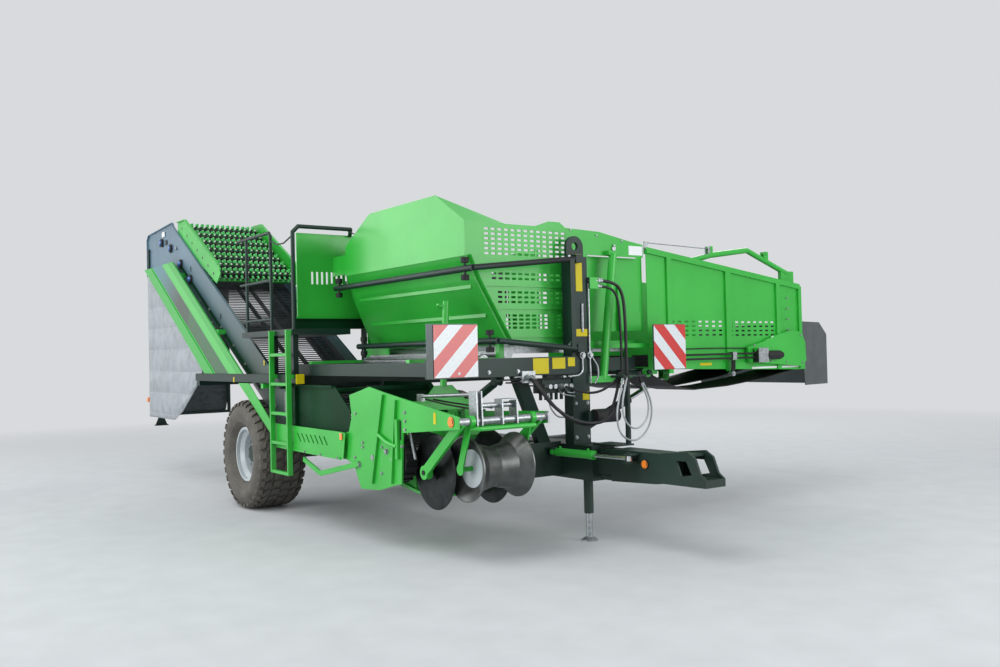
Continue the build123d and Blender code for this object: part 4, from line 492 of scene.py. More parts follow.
# node, finish, which of its faces have that finish instead of the node's own
FINISHED_APART = (
    # the tubes that stand left of the dark post
    ("main_frame", GREEN, within(x=(3705, FAR), y=(310, FAR), z=(1360, FAR))),
    ("boards", BOARD_RIGHT, within(x=(BOARD_FRONT, FAR), y=(-FAR, 0), facing=FORWARD)),
    ("boards", BOARD_LEFT, within(x=(BOARD_FRONT, FAR), y=(0, FAR), facing=FORWARD)),
    # the oil motor's body, the two ends of its gearbox, and the top arm's clamps
    ("trough_gear", BLACK, within(x=(3716.5, FAR), z=(-FAR, 1625))),
    ("trough_gear", ZINC, within(x=(3717, FAR), y=(2345, 2405), z=(-FAR, 1655))),
    ("trough_gear", ZINC, within(x=(3717, FAR), y=(2700, 2860), z=(-FAR, 1655))),
    ("trough_gear", ZINC, within(y=(-FAR, 2190), z=(2610, FAR))),
    # the front pipe between the unit's plates
    ("dig_frame", ZINC, within(x=(4225, FAR), y=(-1160, FAR), z=(1105, 1175))),
    # the diabolo roller's two dished hub plates
    ("diabolo_roller", SILVER, within(y=(-1150, -1140), facing=RIGHT)),
    ("diabolo_roller", SILVER, within(y=(-780, -770), facing=LEFT)),
    # the valve block, and the oil filter's bowl
    ("hydraulics", ZINC, within(x=(3852, 3960), y=(-FAR, 110), z=(1230, FAR))),
    ("hydraulics", BLACK, within(x=(-FAR, 4010), y=(270, FAR), z=(1010, 1150))),
    # the tool box on the intake's wall
    ("intake_sides", ZINC, within(x=(-FAR, 1112), y=(-FAR, -1308), z=(1049, 1311))),
    # the rubber stops above and below the ends of each guard rail
    ("guard_rail", BLACK, within(z=(2263, 2316))),
    ("guard_rail", BLACK, within(z=(2404, 2457))),
    ("guard_rail", BLACK, within(y=(-FAR, -640), z=(1663, 1716))),
    ("guard_rail", BLACK, within(y=(-FAR, -640), z=(1804, 1857))),
    ("platform", ZINC, within(z=(-FAR, 1945), facing=UP)),
)


def paint_nodes():
    """Gives each CAD node its finish, and then some of its faces their own."""
    for node, finish in FINISH.items():
        mesh = NODES[node].data
        mesh.materials.clear()
        mesh.materials.append(finish)
        for polygon in mesh.polygons:
            polygon.material_index = 0
    for node, finish, belongs in FINISHED_APART:
        mesh = NODES[node].data
        if finish.name not in mesh.materials:
            mesh.materials.append(finish)
        index = mesh.materials.find(finish.name)
        for polygon in mesh.polygons:
            if belongs(polygon):
                polygon.material_index = index


# ---------------------------------------------------------------- mesh helpers
def finish_piece(name, bm, body, *materials, smooth=True):
    """Turns a bmesh into an object that rides on a body."""
    mesh = bpy.data.meshes.new(name)
    bmesh.ops.recalc_face_normals(bm, faces=bm.faces)
    bm.to_mesh(mesh)
    bm.free()
    for material in materials:
        mesh.materials.append(material)
    if smooth:
        for polygon in mesh.polygons:
            polygon.use_smooth = True
        mesh.set_sharp_from_angle(angle=math.radians(32))
    piece = bpy.data.objects.new(name, mesh)
    bpy.context.scene.collection.objects.link(piece)
    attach(piece, body)
    return piece


def bevel(piece, width, segments=2):
    modifier = piece.modifiers.new("rounded_edges", "BEVEL")
    modifier.width = width
    modifier.segments = segments
    modifier.limit_method = "ANGLE"
    return piece


def turn_to(axis):
    return Vector(axis).normalized().to_track_quat("Z", "Y").to_matrix().to_4x4()


def add_rod(bm, p, q, diameter, sides=12, tip=None):
    """Closed round rod from p to q, in metres; tip is the far end's diameter."""
    axis = q - p
    place = Matrix.Translation((p + q) / 2) @ turn_to(axis)
    end = diameter if tip is None else tip
    bmesh.ops.create_cone(bm, cap_ends=True, segments=sides, radius1=diameter / 2, radius2=end / 2,
                          depth=axis.length, matrix=place)


def add_stub(bm, place, axis, start, end, across, tip=None, sides=16):
    """Round stub on an axis through a machine place, all in millimetres: it runs from
    start to end along the axis, and tip is the end's own diameter."""
    foot = machine(*place)
    add_rod(bm, foot + axis * start * MM, foot + axis * end * MM, across * MM, sides,
            None if tip is None else tip * MM)


def add_block(bm, low, high):
    """Box between two machine points in millimetres."""
    a, b = machine(*low), machine(*high)
    size = Vector((abs(b.x - a.x), abs(b.y - a.y), abs(b.z - a.z)))
    place = Matrix.Translation((a + b) / 2) @ Matrix.Diagonal((*size, 1))
    bmesh.ops.create_cube(bm, size=1.0, matrix=place)


def lathe(bm, profile, centre, steps):
    """Turns a closed (radius, along) profile about the Y axis through centre."""
    rings = []
    for k in range(steps):
        angle = 2 * math.pi * k / steps
        rings.append([bm.verts.new(centre + Vector((r * math.cos(angle), a, r * math.sin(angle))))
                      for r, a in profile])
    for k in range(steps):
        here, there = rings[k], rings[(k + 1) % steps]
        for i in range(len(profile)):
            j = (i + 1) % len(profile)
            bm.faces.new((here[i], here[j], there[j], there[i]))


def rounded(points):
    """A route with each corner drawn as a short arc."""
    line = [points[0]]
    for before, here, after in zip(points, points[1:], points[2:]):
        reach = 0.4 * min((here - before).length, (after - here).length)
        start, end = here + (before - here).normalized() * reach, here + (after - here).normalized() * reach
        for k in range(6):
            t = k / 5
            line.append(start * (1 - t) ** 2 + here * (2 * t * (1 - t)) + end * t ** 2)
    return line + [points[-1]]


def add_tube(bm, places, diameter, sides=10):
    """Bent tube through machine points, closed at its ends; diameter in millimetres."""
    line = rounded([machine(*place) for place in places])
    across = (line[1] - line[0]).orthogonal().normalized()
    rings = []
    for k, point in enumerate(line):
        ahead = (line[min(k + 1, len(line) - 1)] - line[max(k - 1, 0)]).normalized()
        across = (across - ahead * across.dot(ahead)).normalized()
        other = ahead.cross(across)
        rings.append([bm.verts.new(point + (across * math.cos(2 * math.pi * i / sides)
                                            + other * math.sin(2 * math.pi * i / sides)) * diameter * MM / 2)
                      for i in range(sides)])
    for here, there in zip(rings, rings[1:]):
        for i in range(sides):
            bm.faces.new((here[i], here[(i + 1) % sides], there[(i + 1) % sides], there[i]))
    bm.faces.new(rings[0][::-1])
    bm.faces.new(rings[-1])


# ---------------------------------------------------------------------- tyres
# all in metres
TYRE_R, TYRE_HALF, BEAD_R = 0.600, 0.280, 0.2862
TREAD_DEEP = 0.017
LUGS = 34
LUG_ROOT, LUG_CHAMFER = 0.012, 0.0035   # how far a block sinks in, and how its top draws in
SHOULDER_FROM, SHOULDER_FALL = 0.19, 5.2    # beyond this width the tread falls off
# bands of tread blocks: inner edge, outer edge, slant along the tread, share of the pitch
TREAD_BANDS = ((0.012, 0.098, 0.020, 0.62), (0.112, 0.182, 0.034, 0.60), (0.196, 0.262, 0.018, 0.55))


def make_tyre(body, node):
    """Flotation tyre: round carcass with ribbed walls and three bands of slanted
    blocks either side of the centre line."""
    centre = machine(*pivot(body + "_spin"))
    half, r = TYRE_HALF, TYRE_R - TREAD_DEEP
    skin = [(BEAD_R, half - 0.092), (BEAD_R + 0.022, half - 0.092), (BEAD_R + 0.035, half - 0.06),
            (BEAD_R + 0.075, half - 0.026), (BEAD_R + 0.082, half - 0.018), (BEAD_R + 0.094, half - 0.018),
            (BEAD_R + 0.11, half - 0.008), (r - 0.13, half), (r - 0.115, half + 0.0005),
            (r - 0.1, half - 0.002), (r - 0.05, half - 0.022), (r - 0.018, half - 0.05),
            (r - 0.005, half - 0.1), (r, half - 0.2), (r, 0)]
    lining = [(BEAD_R, half - 0.122), (BEAD_R + 0.06, half - 0.06), (r - 0.1, half - 0.04),
              (r - 0.05, half - 0.11), (r - 0.035, 0)]
    profile = skin + [(a, -b) for a, b in skin[-2::-1]] + [(a, -b) for a, b in lining[:-1]] + lining[::-1]
    bm = bmesh.new()
    lathe(bm, profile, centre, 96)
    for inner, outer, slant, share in TREAD_BANDS:
        for way in (-1, 1):
            shift = 0.5 if way > 0 else 0.0
            for k in range(LUGS):
                add_lug(bm, centre, way, inner, outer, slant, share, (k + shift) * 2 * math.pi / LUGS)
    piece = finish_piece("tyre_tread_" + body[6:], bm, body, TYRE)
    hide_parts(node)


def add_lug(bm, centre, way, inner, outer, slant, share, angle):
    """One tread block that stands on the carcass and leans over the shoulder."""
    pitch = 2 * math.pi / LUGS
    corners = []
    for y, lead in ((inner, 0.0), (outer, slant / TYRE_R)):
        drop = max(0.0, y - SHOULDER_FROM) ** 2 * SHOULDER_FALL
        for turn in (0.0, share * pitch):
            corners.append((y, angle + way * lead + turn, drop))
    loops = []
    for rise, inset in ((-LUG_ROOT, 0.0), (TREAD_DEEP, LUG_CHAMFER)):
        loop = []
        for y, turn, drop in corners:
            radius = TYRE_R - TREAD_DEEP + rise - drop
            across = way * (y + inset if y == inner else y - inset)
            corner = Vector((radius * math.cos(turn), across, radius * math.sin(turn)))
            loop.append(bm.verts.new(centre + corner))
        loops.append(loop)
    low, top = loops
    order = (0, 1, 3, 2)
    bm.faces.new([top[i] for i in order])
    bm.faces.new([low[i] for i in reversed(order)])
    for i, j in zip(order, order[1:] + order[:1]):
        bm.faces.new((low[i], low[j], top[j], top[i]))


# ----------------------------------------------------------------------- webs
WEB_KNEE = (1300, 850)                  # where the sieving web turns up the slope
WEB_BAR_D, WEB_BAR_LIFT, WEB_BAR_SHORT = 12, 7, 6
WEB_BELT_W, WEB_BELT_FROM, WEB_BELT_TO = 60, 1.5, 9     # belt's width and its two faces over the roller


def loop_path(centres, radius):
    """Closed line in x, z that a web takes round rollers, left of the centres'
    to-and-fro line: arcs on outside corners, a mitre at an inside one."""
    walk = [Vector(c) for c in centres] + [Vector(c) for c in centres[-2:0:-1]]
    count, points = len(walk), []
    for i, here in enumerate(walk):
        before, after = walk[i - 1], walk[(i + 1) % count]
        a, b = (here - before).normalized(), (after - here).normalized()
        na, nb = Vector((-a.y, a.x)), Vector((-b.y, b.x))
        turn = a.x * b.y - a.y * b.x
        if turn > 0.001 and a.dot(b) > -0.9:
            middle = (na + nb).normalized()
            points.append(here + middle * (radius / middle.dot(na)))
            continue
        start, sweep = math.atan2(na.y, na.x), -math.acos(max(-1.0, min(1.0, a.dot(b))))
        steps = max(2, int(abs(sweep) / 0.2))
        for k in range(steps + 1):
            angle = start + sweep * k / steps
            points.append(here + Vector((math.cos(angle), math.sin(angle))) * radius)
    return points


def along(points, pitch):
    """Points at an even pitch round a closed line."""
    closed = points + points[:1]
    total = sum((q - p).length for p, q in zip(closed, closed[1:]))
    count = int(total / pitch)
    step, found, passed, target = total / count, [], 0.0, 0.0
    for p, q in zip(closed, closed[1:]):
        run = (q - p).length
        while target <= passed + run and len(found) < count:
            found.append(p + (q - p) * ((target - passed) / run))
            target += step
        passed += run
    return found


def make_web(name, body, node, centres, radius, y0, y1, pitch):
    """Sieving web: round bars riveted to three endless rubber belts."""
    bm = bmesh.new()
    for point in along(loop_path(centres, radius + WEB_BAR_LIFT), pitch):
        add_stub(bm, (point.x, y0, point.y), LEFT, WEB_BAR_SHORT, y1 - y0 - WEB_BAR_SHORT, WEB_BAR_D, sides=8)
    bars = len(bm.faces)
    line = loop_path(centres, radius + WEB_BELT_FROM)
    outer = loop_path(centres, radius + WEB_BELT_TO)
    for low in (y0, (y0 + y1 - WEB_BELT_W) / 2, y1 - WEB_BELT_W):
        high = low + WEB_BELT_W
        rings = []
        for inside, outside in zip(line, outer):
            rings.append([bm.verts.new(machine(p.x, y, p.y)) for p, y in
                          ((inside, low), (inside, high), (outside, high), (outside, low))])
        for here, there in zip(rings, rings[1:] + rings[:1]):
            for i in range(4):
                j = (i + 1) % 4
                bm.faces.new((here[i], here[j], there[j], there[i]))
    bm.faces.ensure_lookup_table()
    for face in bm.faces[bars:]:
        face.material_index = 1
    piece = finish_piece(name, bm, body, WEB_STEEL, BLACK)
    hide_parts(node)


def make_webs():
    """The sieving web with its knee between two rollers, and the digging unit's web."""
    low, top, front, rear = (pivot(name + "_spin").xz for name in
                             ("web_low", "web_top", "dig_web_front", "dig_web_rear"))
    make_web("sieving_web", "chassis", "main_web", (low, WEB_KNEE, top), 90, -1280, -260, 46)
    make_web("lifting_web", "dig_unit", "dig_web", (front, rear), 80, -1290, -560, 42)


# ----------------------------------------------------------------- roller bed
BED_ROLLERS = 7
BED_Y = (-1292.0, -248.0)
BED_SHAFT_D, BED_TUBE_D, BED_RING_D = 40, 78, 100
STARS, STAR_MARGIN, RING_HALF = 14, 60, 13
FINGER_COUNT, FINGER_TURN = 7, 0.3
FINGER_FROM, FINGER_TO, FINGER_ROOT_D, FINGER_TIP_D = 44, 84.5, 34, 24


def make_bed_roller(body):
    """Cleaning roller: tube with rows of moulded fingers, their tips painted pale as a highlight, and a ring
    under each.
    """
    place = pivot(body + "_spin")
    y0, y1 = BED_Y
    bm = bmesh.new()
    for margin, across, sides in ((0, BED_SHAFT_D, 20), (40, BED_TUBE_D, 24)):
        add_stub(bm, (place.x, y0, place.z), LEFT, margin, y1 - y0 - margin, across, sides=sides)
    tube = len(bm.faces)
    for k in range(STARS):
        y = y0 + STAR_MARGIN + k * (y1 - y0 - 2 * STAR_MARGIN) / (STARS - 1)
        add_stub(bm, (place.x, y, place.z), LEFT, -RING_HALF, RING_HALF, BED_RING_D)
        for f in range(FINGER_COUNT):
            angle = 2 * math.pi * (f + FINGER_TURN) / FINGER_COUNT
            out = Vector((math.cos(angle), 0, math.sin(angle)))
            add_stub(bm, (place.x, y, place.z), out, FINGER_FROM, FINGER_TO, FINGER_ROOT_D, FINGER_TIP_D,
                     sides=8)
    bm.faces.ensure_lookup_table()
    for face in bm.faces[tube:]:
        reach = (in_machine(face.calc_center_median()) - place).xz.length
        # the last 4.5 mm of each finger takes the pale tips, a painted highlight; then come the fingers, then
        # the rings
        face.material_index = 3 if reach > FINGER_TO - 4.5 else 1 if reach > BED_RING_D / 2 + 3 else 2
    piece = finish_piece(body.replace("bed", "finger"), bm, body, CORES, FINGERS, CORES, HIGHLIGHT_TIPS)
    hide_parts(body)


# ------------------------------------------------------------------- curtains
SIDE_CURTAIN_Y, REAR_CURTAIN_X = -1328.5, -4087.5
CURTAIN_SEAMS = 300.0
CURTAIN_COLUMNS, CURTAIN_ROWS = 64, 60


def outline_span(outline, u):
    """Lowest and highest v of a polygon at u."""
    hits = []
    for (ua, va), (ub, vb) in zip(outline, outline[1:] + outline[:1]):
        if min(ua, ub) <= u <= max(ua, ub) and ua != ub:
            hits.append(va + (vb - va) * (u - ua) / (ub - ua))
    return min(hits), max(hits)


def make_curtain(name, node, outline, place, depth, material):
    """Hung foil: a sheet that billows outwards between its quilted seams. The outline
    is in the sheet's own width and height; place turns those, and how far the foil
    stands out, into a point."""
    start, end = min(u for u, v in outline), max(u for u, v in outline)
    bm = bmesh.new()
    grid, flat_area = [], 0.0
    for i in range(CURTAIN_COLUMNS + 1):
        u = start + (end - start) * i / CURTAIN_COLUMNS
        low, high = outline_span(outline, min(max(u, start + 1), end - 1))
        column = []
        for j in range(CURTAIN_ROWS + 1):
            v = low + (high - low) * j / CURTAIN_ROWS
            puff = abs(math.sin(math.pi * v / CURTAIN_SEAMS))
            crumple = noise.fractal(Vector((u * 1.6, v * 0.6, 7.0)) * 0.006, 1.0, 2.2, 4)
            edge = min(i, CURTAIN_COLUMNS - i, j, CURTAIN_ROWS - j) / 3
            out = depth * min(1.0, edge) * max(0.0, 0.75 * puff ** 0.6 + 0.1 + 0.45 * crumple)
            column.append(bm.verts.new(place(u, v, out)))
        grid.append(column)
        share = 0.5 if i in (0, CURTAIN_COLUMNS) else 1.0
        flat_area += (high - low) * (end - start) / CURTAIN_COLUMNS * share
    for left, right in zip(grid, grid[1:]):
        for j in range(CURTAIN_ROWS):
            bm.faces.new((left[j], right[j], right[j + 1], left[j + 1]))
    piece = finish_piece(name, bm, "chassis", material)
    thick = piece.modifiers.new("cloth_thickness", "SOLIDIFY")
    thick.thickness = 0.002
    thick.offset = 0.0
    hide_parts(node)


def make_curtains():
    """Pale foil on the elevator's right side and, across its rear, the same foil painted dark as painted
    shade.
    """
    side = [(-4088, 2930), (-4088, 850), (-2880, 850), (-2510, 985), (-1720, 1440), (-1720, 1600),
            (-3900, 2930)]
    make_curtain("side_curtain", "curtain_side", side,
                 lambda u, v, out: machine(u, SIDE_CURTAIN_Y - out, v), 30.0, FOIL)
    rear = [(-1326, 870), (-1326, 2880), (-130, 2880), (-130, 1250), (-190, 880)]
    make_curtain("rear_curtain", "curtain_rear", rear,
                 lambda u, v, out: machine(REAR_CURTAIN_X - out, u, v), 24.0, SHADED_FOIL)


# ------------------------------------------------------------------- fittings
WALL_Y, UNIT_Y, GUARD_Y = -1308, -1400, -1448       # right faces of channel, unit and wheel guard
# the flat bar's two ends, its edges' heights over the axle, and its faces' places from the wall
STRIP_X, STRIP_AT_AXLE, STRIP_STANDS = (-2700, 150), (1445.2, 1399.1), (1, -2)
IDLERS = ((-3430, 3330), (-3020, 3210), (-2580, 2960), (-2180, 2720))   # x and z
NUTS, NUT_CIRCLE_R, NUT_Y = 10, 150, 1330


def add_bolt(bm, place, axis, across):
    """Hexagon head on its washer; across is the washer's diameter in millimetres."""
    add_stub(bm, place, axis, -2, 3, across)
    add_stub(bm, place, axis, 2, 3 + across * 0.3, across * 0.75, sides=6)


def bolt_line(start, end, count):
    """Places at an even pitch from start to end."""
    a, b = Vector(start), Vector(end)
    return [tuple(a + (b - a) * (k / (count - 1))) for k in range(count)]


# name, body, axis, washer width, places
BOLTS = (
    ("unit_bolts", "dig_unit", RIGHT, 30,
     [(2620, UNIT_Y, 760), (2640, UNIT_Y, 1150), (3290, UNIT_Y, 790), (2960, UNIT_Y, 780),
      (3460, UNIT_Y, 910), (3110, UNIT_Y, 660), (3350, UNIT_Y, 1120), (2770, UNIT_Y, 900),
      (2770, UNIT_Y, 860), (3120, UNIT_Y, 880)]
     + bolt_line((3520, UNIT_Y, 1190), (3520, UNIT_Y, 1050), 3)),
    ("unit_big_bolts", "dig_unit", RIGHT, 56, [(3200, UNIT_Y, 850), (2700, UNIT_Y, 700)]),
    ("channel_bolts", "chassis", RIGHT, 34,
     [(-1460, WALL_Y, 2290), (-1390, WALL_Y, 2120), (-1050, WALL_Y, 2050), (-630, WALL_Y, 1820),
      (-270, WALL_Y, 1600), (-1800, WALL_Y, 2420), (200, WALL_Y, 1380), (600, WALL_Y, 1150)]
     + bolt_line((1150, WALL_Y, 745), (2250, WALL_Y, 745), 6)),
    ("guard_bolts", "chassis", RIGHT, 26, bolt_line((930, GUARD_Y, 752), (2350, GUARD_Y, 736), 5)),
    ("post_bolts", "chassis", FORWARD, 34,
     bolt_line((3860, 135, 900), (3860, 135, 1200), 2) + bolt_line((3860, 270, 900), (3860, 270, 1200), 2)
     + bolt_line((3870, -1100, 1500), (3870, -500, 1500), 3)),
    ("trough_bolts", "trough", FORWARD, 22,
     bolt_line((3682, 3330, 2190), (3682, 3330, 1840), 4) + [(3716, 2720, 1680), (3716, 3500, 1780)]
     + bolt_line((3716, 2720, 1520), (3716, 3520, 1480), 4)),
    ("bunker_bolts", "chassis", FORWARD, 22, bolt_line((3700, 250, 2760), (3700, 880, 2690), 3)),
)


def make_bolts():
    """Zinc bolts, one piece for each group."""
    for name, body, axis, across, places in BOLTS:
        bm = bmesh.new()
        for place in places:
            add_bolt(bm, place, axis, across)
        finish_piece(name, bm, body, ZINC, smooth=False)


def make_wheel_nuts(side, body):
    """Ten wheel nuts round a hub."""
    hub = pivot(body + "_spin")
    bm = bmesh.new()
    for k in range(NUTS):
        angle = 2 * math.pi * (k + 0.5) / NUTS
        across, up = NUT_CIRCLE_R * math.cos(angle), NUT_CIRCLE_R * math.sin(angle)
        add_bolt(bm, (hub.x + across, side * NUT_Y, hub.z + up), LEFT * side, 36)
    finish_piece("wheel_nuts_" + body[6:], bm, body, ZINC, smooth=False)


def make_bearings():
    """Flanged bearings of the elevator's idlers with their blue caps."""
    flanges, caps = bmesh.new(), bmesh.new()
    for x, z in IDLERS:
        place = (x, WALL_Y, z)
        add_stub(flanges, place, RIGHT, 0, 14, 120, sides=24)
        add_stub(flanges, place, RIGHT, 12, 22, 92, 80, sides=24)
        add_stub(caps, place, RIGHT, 20, 34, 76, 66, sides=24)
        add_stub(caps, place, RIGHT, 33, 41, 64, 30, sides=24)
    finish_piece("idler_flanges", flanges, "chassis", BLACK)
    finish_piece("idler_caps", caps, "chassis", BLUE)


# name, body, material, diameter, routes
PIPES = (
    ("post_lines", "chassis", ZINC, 16, (
        [(3888, 200, 1600), (3888, 200, 1480), (3888, 150, 1446), (3888, 30, 1440)],
        [(3888, 285, 1600), (3888, 290, 1500), (3888, 290, 1370)],
        [(3894, 310, 1600), (3896, 372, 1520), (3896, 374, 1430), (3890, 335, 1370)],
        [(3872, 300, 2262), (3872, 303, 2000), (3872, 298, 1640)])),
    ("post_fittings", "chassis", ZINC, 34, (
        [(3862, 300, 2290), (3882, 396, 2290)],
        [(3862, 300, 2240), (3872, 396, 2240)])),
    ("beam_lines", "chassis", BLACK, 14, (
        [(3882, -700, 1432), (3884, -300, 1428), (3882, 90, 1432)],
        [(3884, -640, 1408), (3880, -350, 1400), (3860, -240, 1395)],
        [(3882, -520, 1380), (3886, -330, 1372), (3866, -236, 1380)])),
    ("beam_zinc_lines", "chassis", ZINC, 14, (
        [(3890, -560, 1450), (3892, -500, 1452), (3890, -480, 1452)],
        [(3862, -60, 1330), (3900, -60, 1290), (3902, 60, 1270), (3880, 110, 1262)],
        [(3862, 20, 1330), (3892, 20, 1300), (3892, 80, 1296), (3876, 108, 1300)],
        [(3866, -170, 1300), (3870, -168, 1180), (3862, -80, 1090), (3850, 60, 1080), (3850, 104, 1080)])),
    ("trough_lines", "trough", BLACK, 12, (
        [(3692, 1470, 1652), (3692, 2100, 1660), (3692, 2760, 1648)],)),
    ("trough_drops", "trough", BLACK, 24, (
        [(3726, 2362, 1530), (3724, 2362, 1440), (3716, 2350, 1400)],
        [(3726, 2392, 1530), (3724, 2392, 1440), (3716, 2372, 1400)])),
    ("unit_lines", "dig_unit", BLACK, 14, (
        [(3500, -1190, 1290), (3700, -1170, 1260), (3960, -1120, 1230), (4180, -1060, 1215)],
        [(3480, -1100, 1282), (3640, -1060, 1262), (3900, -1010, 1240), (4190, -1000, 1230)])),
    ("unit_strut", "dig_unit", ZINC, 26, (
        [(3430, -1310, 1020), (3520, -1310, 800)],)),
    ("rail_cable", "chassis", BLACK, 12, (
        [(1370, -800, 2960), (1700, -840, 2870), (1980, -878, 2880), (2060, -880, 2930)],)),
)


def make_pipes():
    """Oil lines and a cable that keep their bends, one piece for each group."""
    for name, body, material, diameter, routes in PIPES:
        bm = bmesh.new()
        for route in routes:
            add_tube(bm, route, diameter)
        finish_piece(name, bm, body, material)


def way_from(points, start, beyond):
    """Direction of a route at one of its points, towards the point beyond."""
    return (Vector(points[beyond]) - Vector(points[start])).normalized()


def make_unions():
    """Zinc gauges on the post, screwed unions and the hoses' crimped ferrules."""
    bm = bmesh.new()
    for place in ((3860, 200, 1622), (3860, 288, 1622)):
        add_stub(bm, place, FORWARD, 0, 34, 62, sides=20)
        add_stub(bm, place, FORWARD, 33, 52, 40, sides=6)
    for place in ((3886, -30, 1440), (3886, 40, 1440)):
        add_stub(bm, place, LEFT, 0, 30, 28, sides=6)
    for diameter, points in (HOSE_TO_TROUGH, HOSE_BESIDE_IT, HOSE_FEED, HOSE_RETURN, HOSE_VALVE):
        ahead = way_from(points, 0, 1)
        add_stub(bm, points[0], ahead, 0, 55, diameter * 1.35)
        add_stub(bm, points[0], ahead, 0, 22, diameter * 1.7, sides=6)
    add_rod(bm, machine(3868, 225, 1830), machine(3868, 228, 2080), 0.024, sides=14)
    finish_piece("unions", bm, "chassis", ZINC)


def make_couplings():
    """Black quick couplings in which the parked hoses and cables end."""
    bm = bmesh.new()
    for diameter, points in (HOSE_FEED, HOSE_RETURN, HOSE_VALVE, LOOP_WIDE, LOOP_NARROW):
        add_stub(bm, points[-1], way_from(points, -1, -2), 0, 60, max(diameter * 1.3, 24), sides=14)
        add_stub(bm, points[-1], UP, 12, 40, 34, 28, sides=14)
    finish_piece("quick_couplings", bm, "chassis", BLACK)


def make_pin_heads():
    """Zinc heads of three pins, each with its lock bolt, and the union under the trough."""
    bm = bmesh.new()
    for (x, y, z), across in (((3702, 770, 2610), 46), ((3892, 60, 2462), 52), ((3892, 66, 1710), 52)):
        add_stub(bm, (x, y, z), FORWARD, -6, 12, across, sides=20)
        add_stub(bm, (x, y, z + 30), FORWARD, 10, 18, across * 0.5, sides=6)
    finish_piece("pin_heads", bm, "chassis", ZINC)
    drop = bmesh.new()
    add_stub(drop, (3690, 2361, 1392), FORWARD, 0, 52, 50, sides=18)
    add_stub(drop, (3690, 2361, 1392), FORWARD, 46, 62, 30, sides=6)
    finish_piece("drop_union", drop, "trough", ZINC)


def make_latch():
    """Latch arm on the digging unit's outer plate, and black boxes beside it that paint the shade inside its
    slots.
    """
    bm = bmesh.new()
    add_tube(bm, [(3090, -1418, 985), (3240, -1424, 930), (3400, -1420, 905)], 34, sides=8)
    add_block(bm, (3385, -1428, 800), (3425, UNIT_Y - 2, 1130))
    bevel(finish_piece("latch_arm", bm, "dig_unit", GREEN), 0.003)
    slots = bmesh.new()
    # black boxes on the plate: painted shade for the inside of two slots
    for x, low, high in (((3435, 3452), 960, 1120), ((3330, 3350), 900, 1060)):
        add_block(slots, (x[0], UNIT_Y - 4, low), (x[1], UNIT_Y - 1, high))
    finish_piece("latch_slots_painted_shade", slots, "dig_unit", BLACK)


def make_bunker_trim():
    """Flat strip that closes the pocket beside the trough, and the folded beam under
    the panel behind the bunker."""
    strip = bmesh.new()
    add_block(strip, (3601, 1148, 1845), (3606, 1222, 2655))
    bevel(finish_piece("pocket_strip", strip, "chassis", GREEN), 0.001)
    beam = bmesh.new()
    back, front, near, far, foot, top, sheet = 1195, 1225, -1338, -177, 1953, 2058, 6
    add_block(beam, (back, near, foot), (back + sheet, far, top))
    for z in (foot, top - sheet):
        add_block(beam, (back, near, z), (front, far, z + sheet))
    bevel(finish_piece("hood_beam", beam, "chassis", DEEP), 0.001)


def make_channel_strip():
    """Flat bar bolted along the elevator's wall, just above the drive cover."""
    rear, front = STRIP_X
    bm = bmesh.new()
    loops = []
    for stands in STRIP_STANDS:
        corners = [(rear, 0), (front, 0), (front, 1), (rear, 1)]
        loops.append([bm.verts.new(machine(x, WALL_Y + stands, STRIP_AT_AXLE[edge] - COVER_FALL * x))
                      for x, edge in corners])
    far, near = loops
    bm.faces.new(near)
    bm.faces.new(far[::-1])
    for i in range(4):
        j = (i + 1) % 4
        bm.faces.new((near[i], far[i], far[j], near[j]))
    finish_piece("channel_strip", bm, "chassis", DEEP)


# name, body, material, boxes between two corners
PLATES = (
    ("post_plates", "chassis", YELLOW, [
        ((3860, 165, 2190), (3863, 240, 2520)),
        ((3860, 150, 1790), (3863, 285, 1855)),
        ((3860, 215, 1225), (3863, 292, 1300))]),
    ("beam_plates", "chassis", YELLOW, [
        ((3870, -340, 1472), (3873, -170, 1606)),
        ((3870, -130, 1510), (3873, 15, 1606)),
        ((3870, 45, 1528), (3873, 125, 1606))]),
    ("unit_plate", "dig_unit", YELLOW, [((3962, -1403, 1115), (3998, UNIT_Y, 1205))]),
    ("trough_plate", "trough", YELLOW, [((3660, 1950, 1484), (3663, 2120, 1512))]),
    ("rim_plate", "chassis", WHITE, [((3700, 965, 2560), (3703, 1140, 2648))]),
    ("channel_plate", "chassis", WHITE, [((-3420, -1311, 3405), (-3290, WALL_Y, 3478))]),
    ("trough_strip", "trough", WHITE, [((3660, 2740, 1430), (3663, 3530, 1450))]),
    ("side_reflectors", "chassis", AMBER, [
        ((2410, -1452, 905), (2455, -1444, 965)),
        ((-4150, -1352, 1060), (-4085, -1330, 1130))]),
    ("beam_caps", "chassis", YELLOW, [
        ((3640, -1256, 1468), (3725, -1250, 1594)),
        ((1400, -1424, 1396), (1416, -1338, 1494)),
        ((-356, -1424, 1396), (-325, -1419, 1455)),
        ((280, -1311, 1585), (310, WALL_Y, 1640))]),
    # black boxes on the channel's wall: painted shade for the inside of three slots
    ("channel_slots_painted_shade", "chassis", BLACK, [
        ((-1090, -1310, 2150), (-1070, -1307, 2215)),
        ((-2190, -1310, 2820), (-2170, -1307, 2885)),
        ((-3260, -1310, 3280), (-3190, -1307, 3350))]),
)


def make_plates():
    """Blank plates, foil reflectors, end caps, and black boxes of painted shade for the channel's slots."""
    for name, body, material, boxes in PLATES:
        bm = bmesh.new()
        for low, high in boxes:
            add_block(bm, low, high)
        bevel(finish_piece(name, bm, body, material, smooth=False), 0.001)


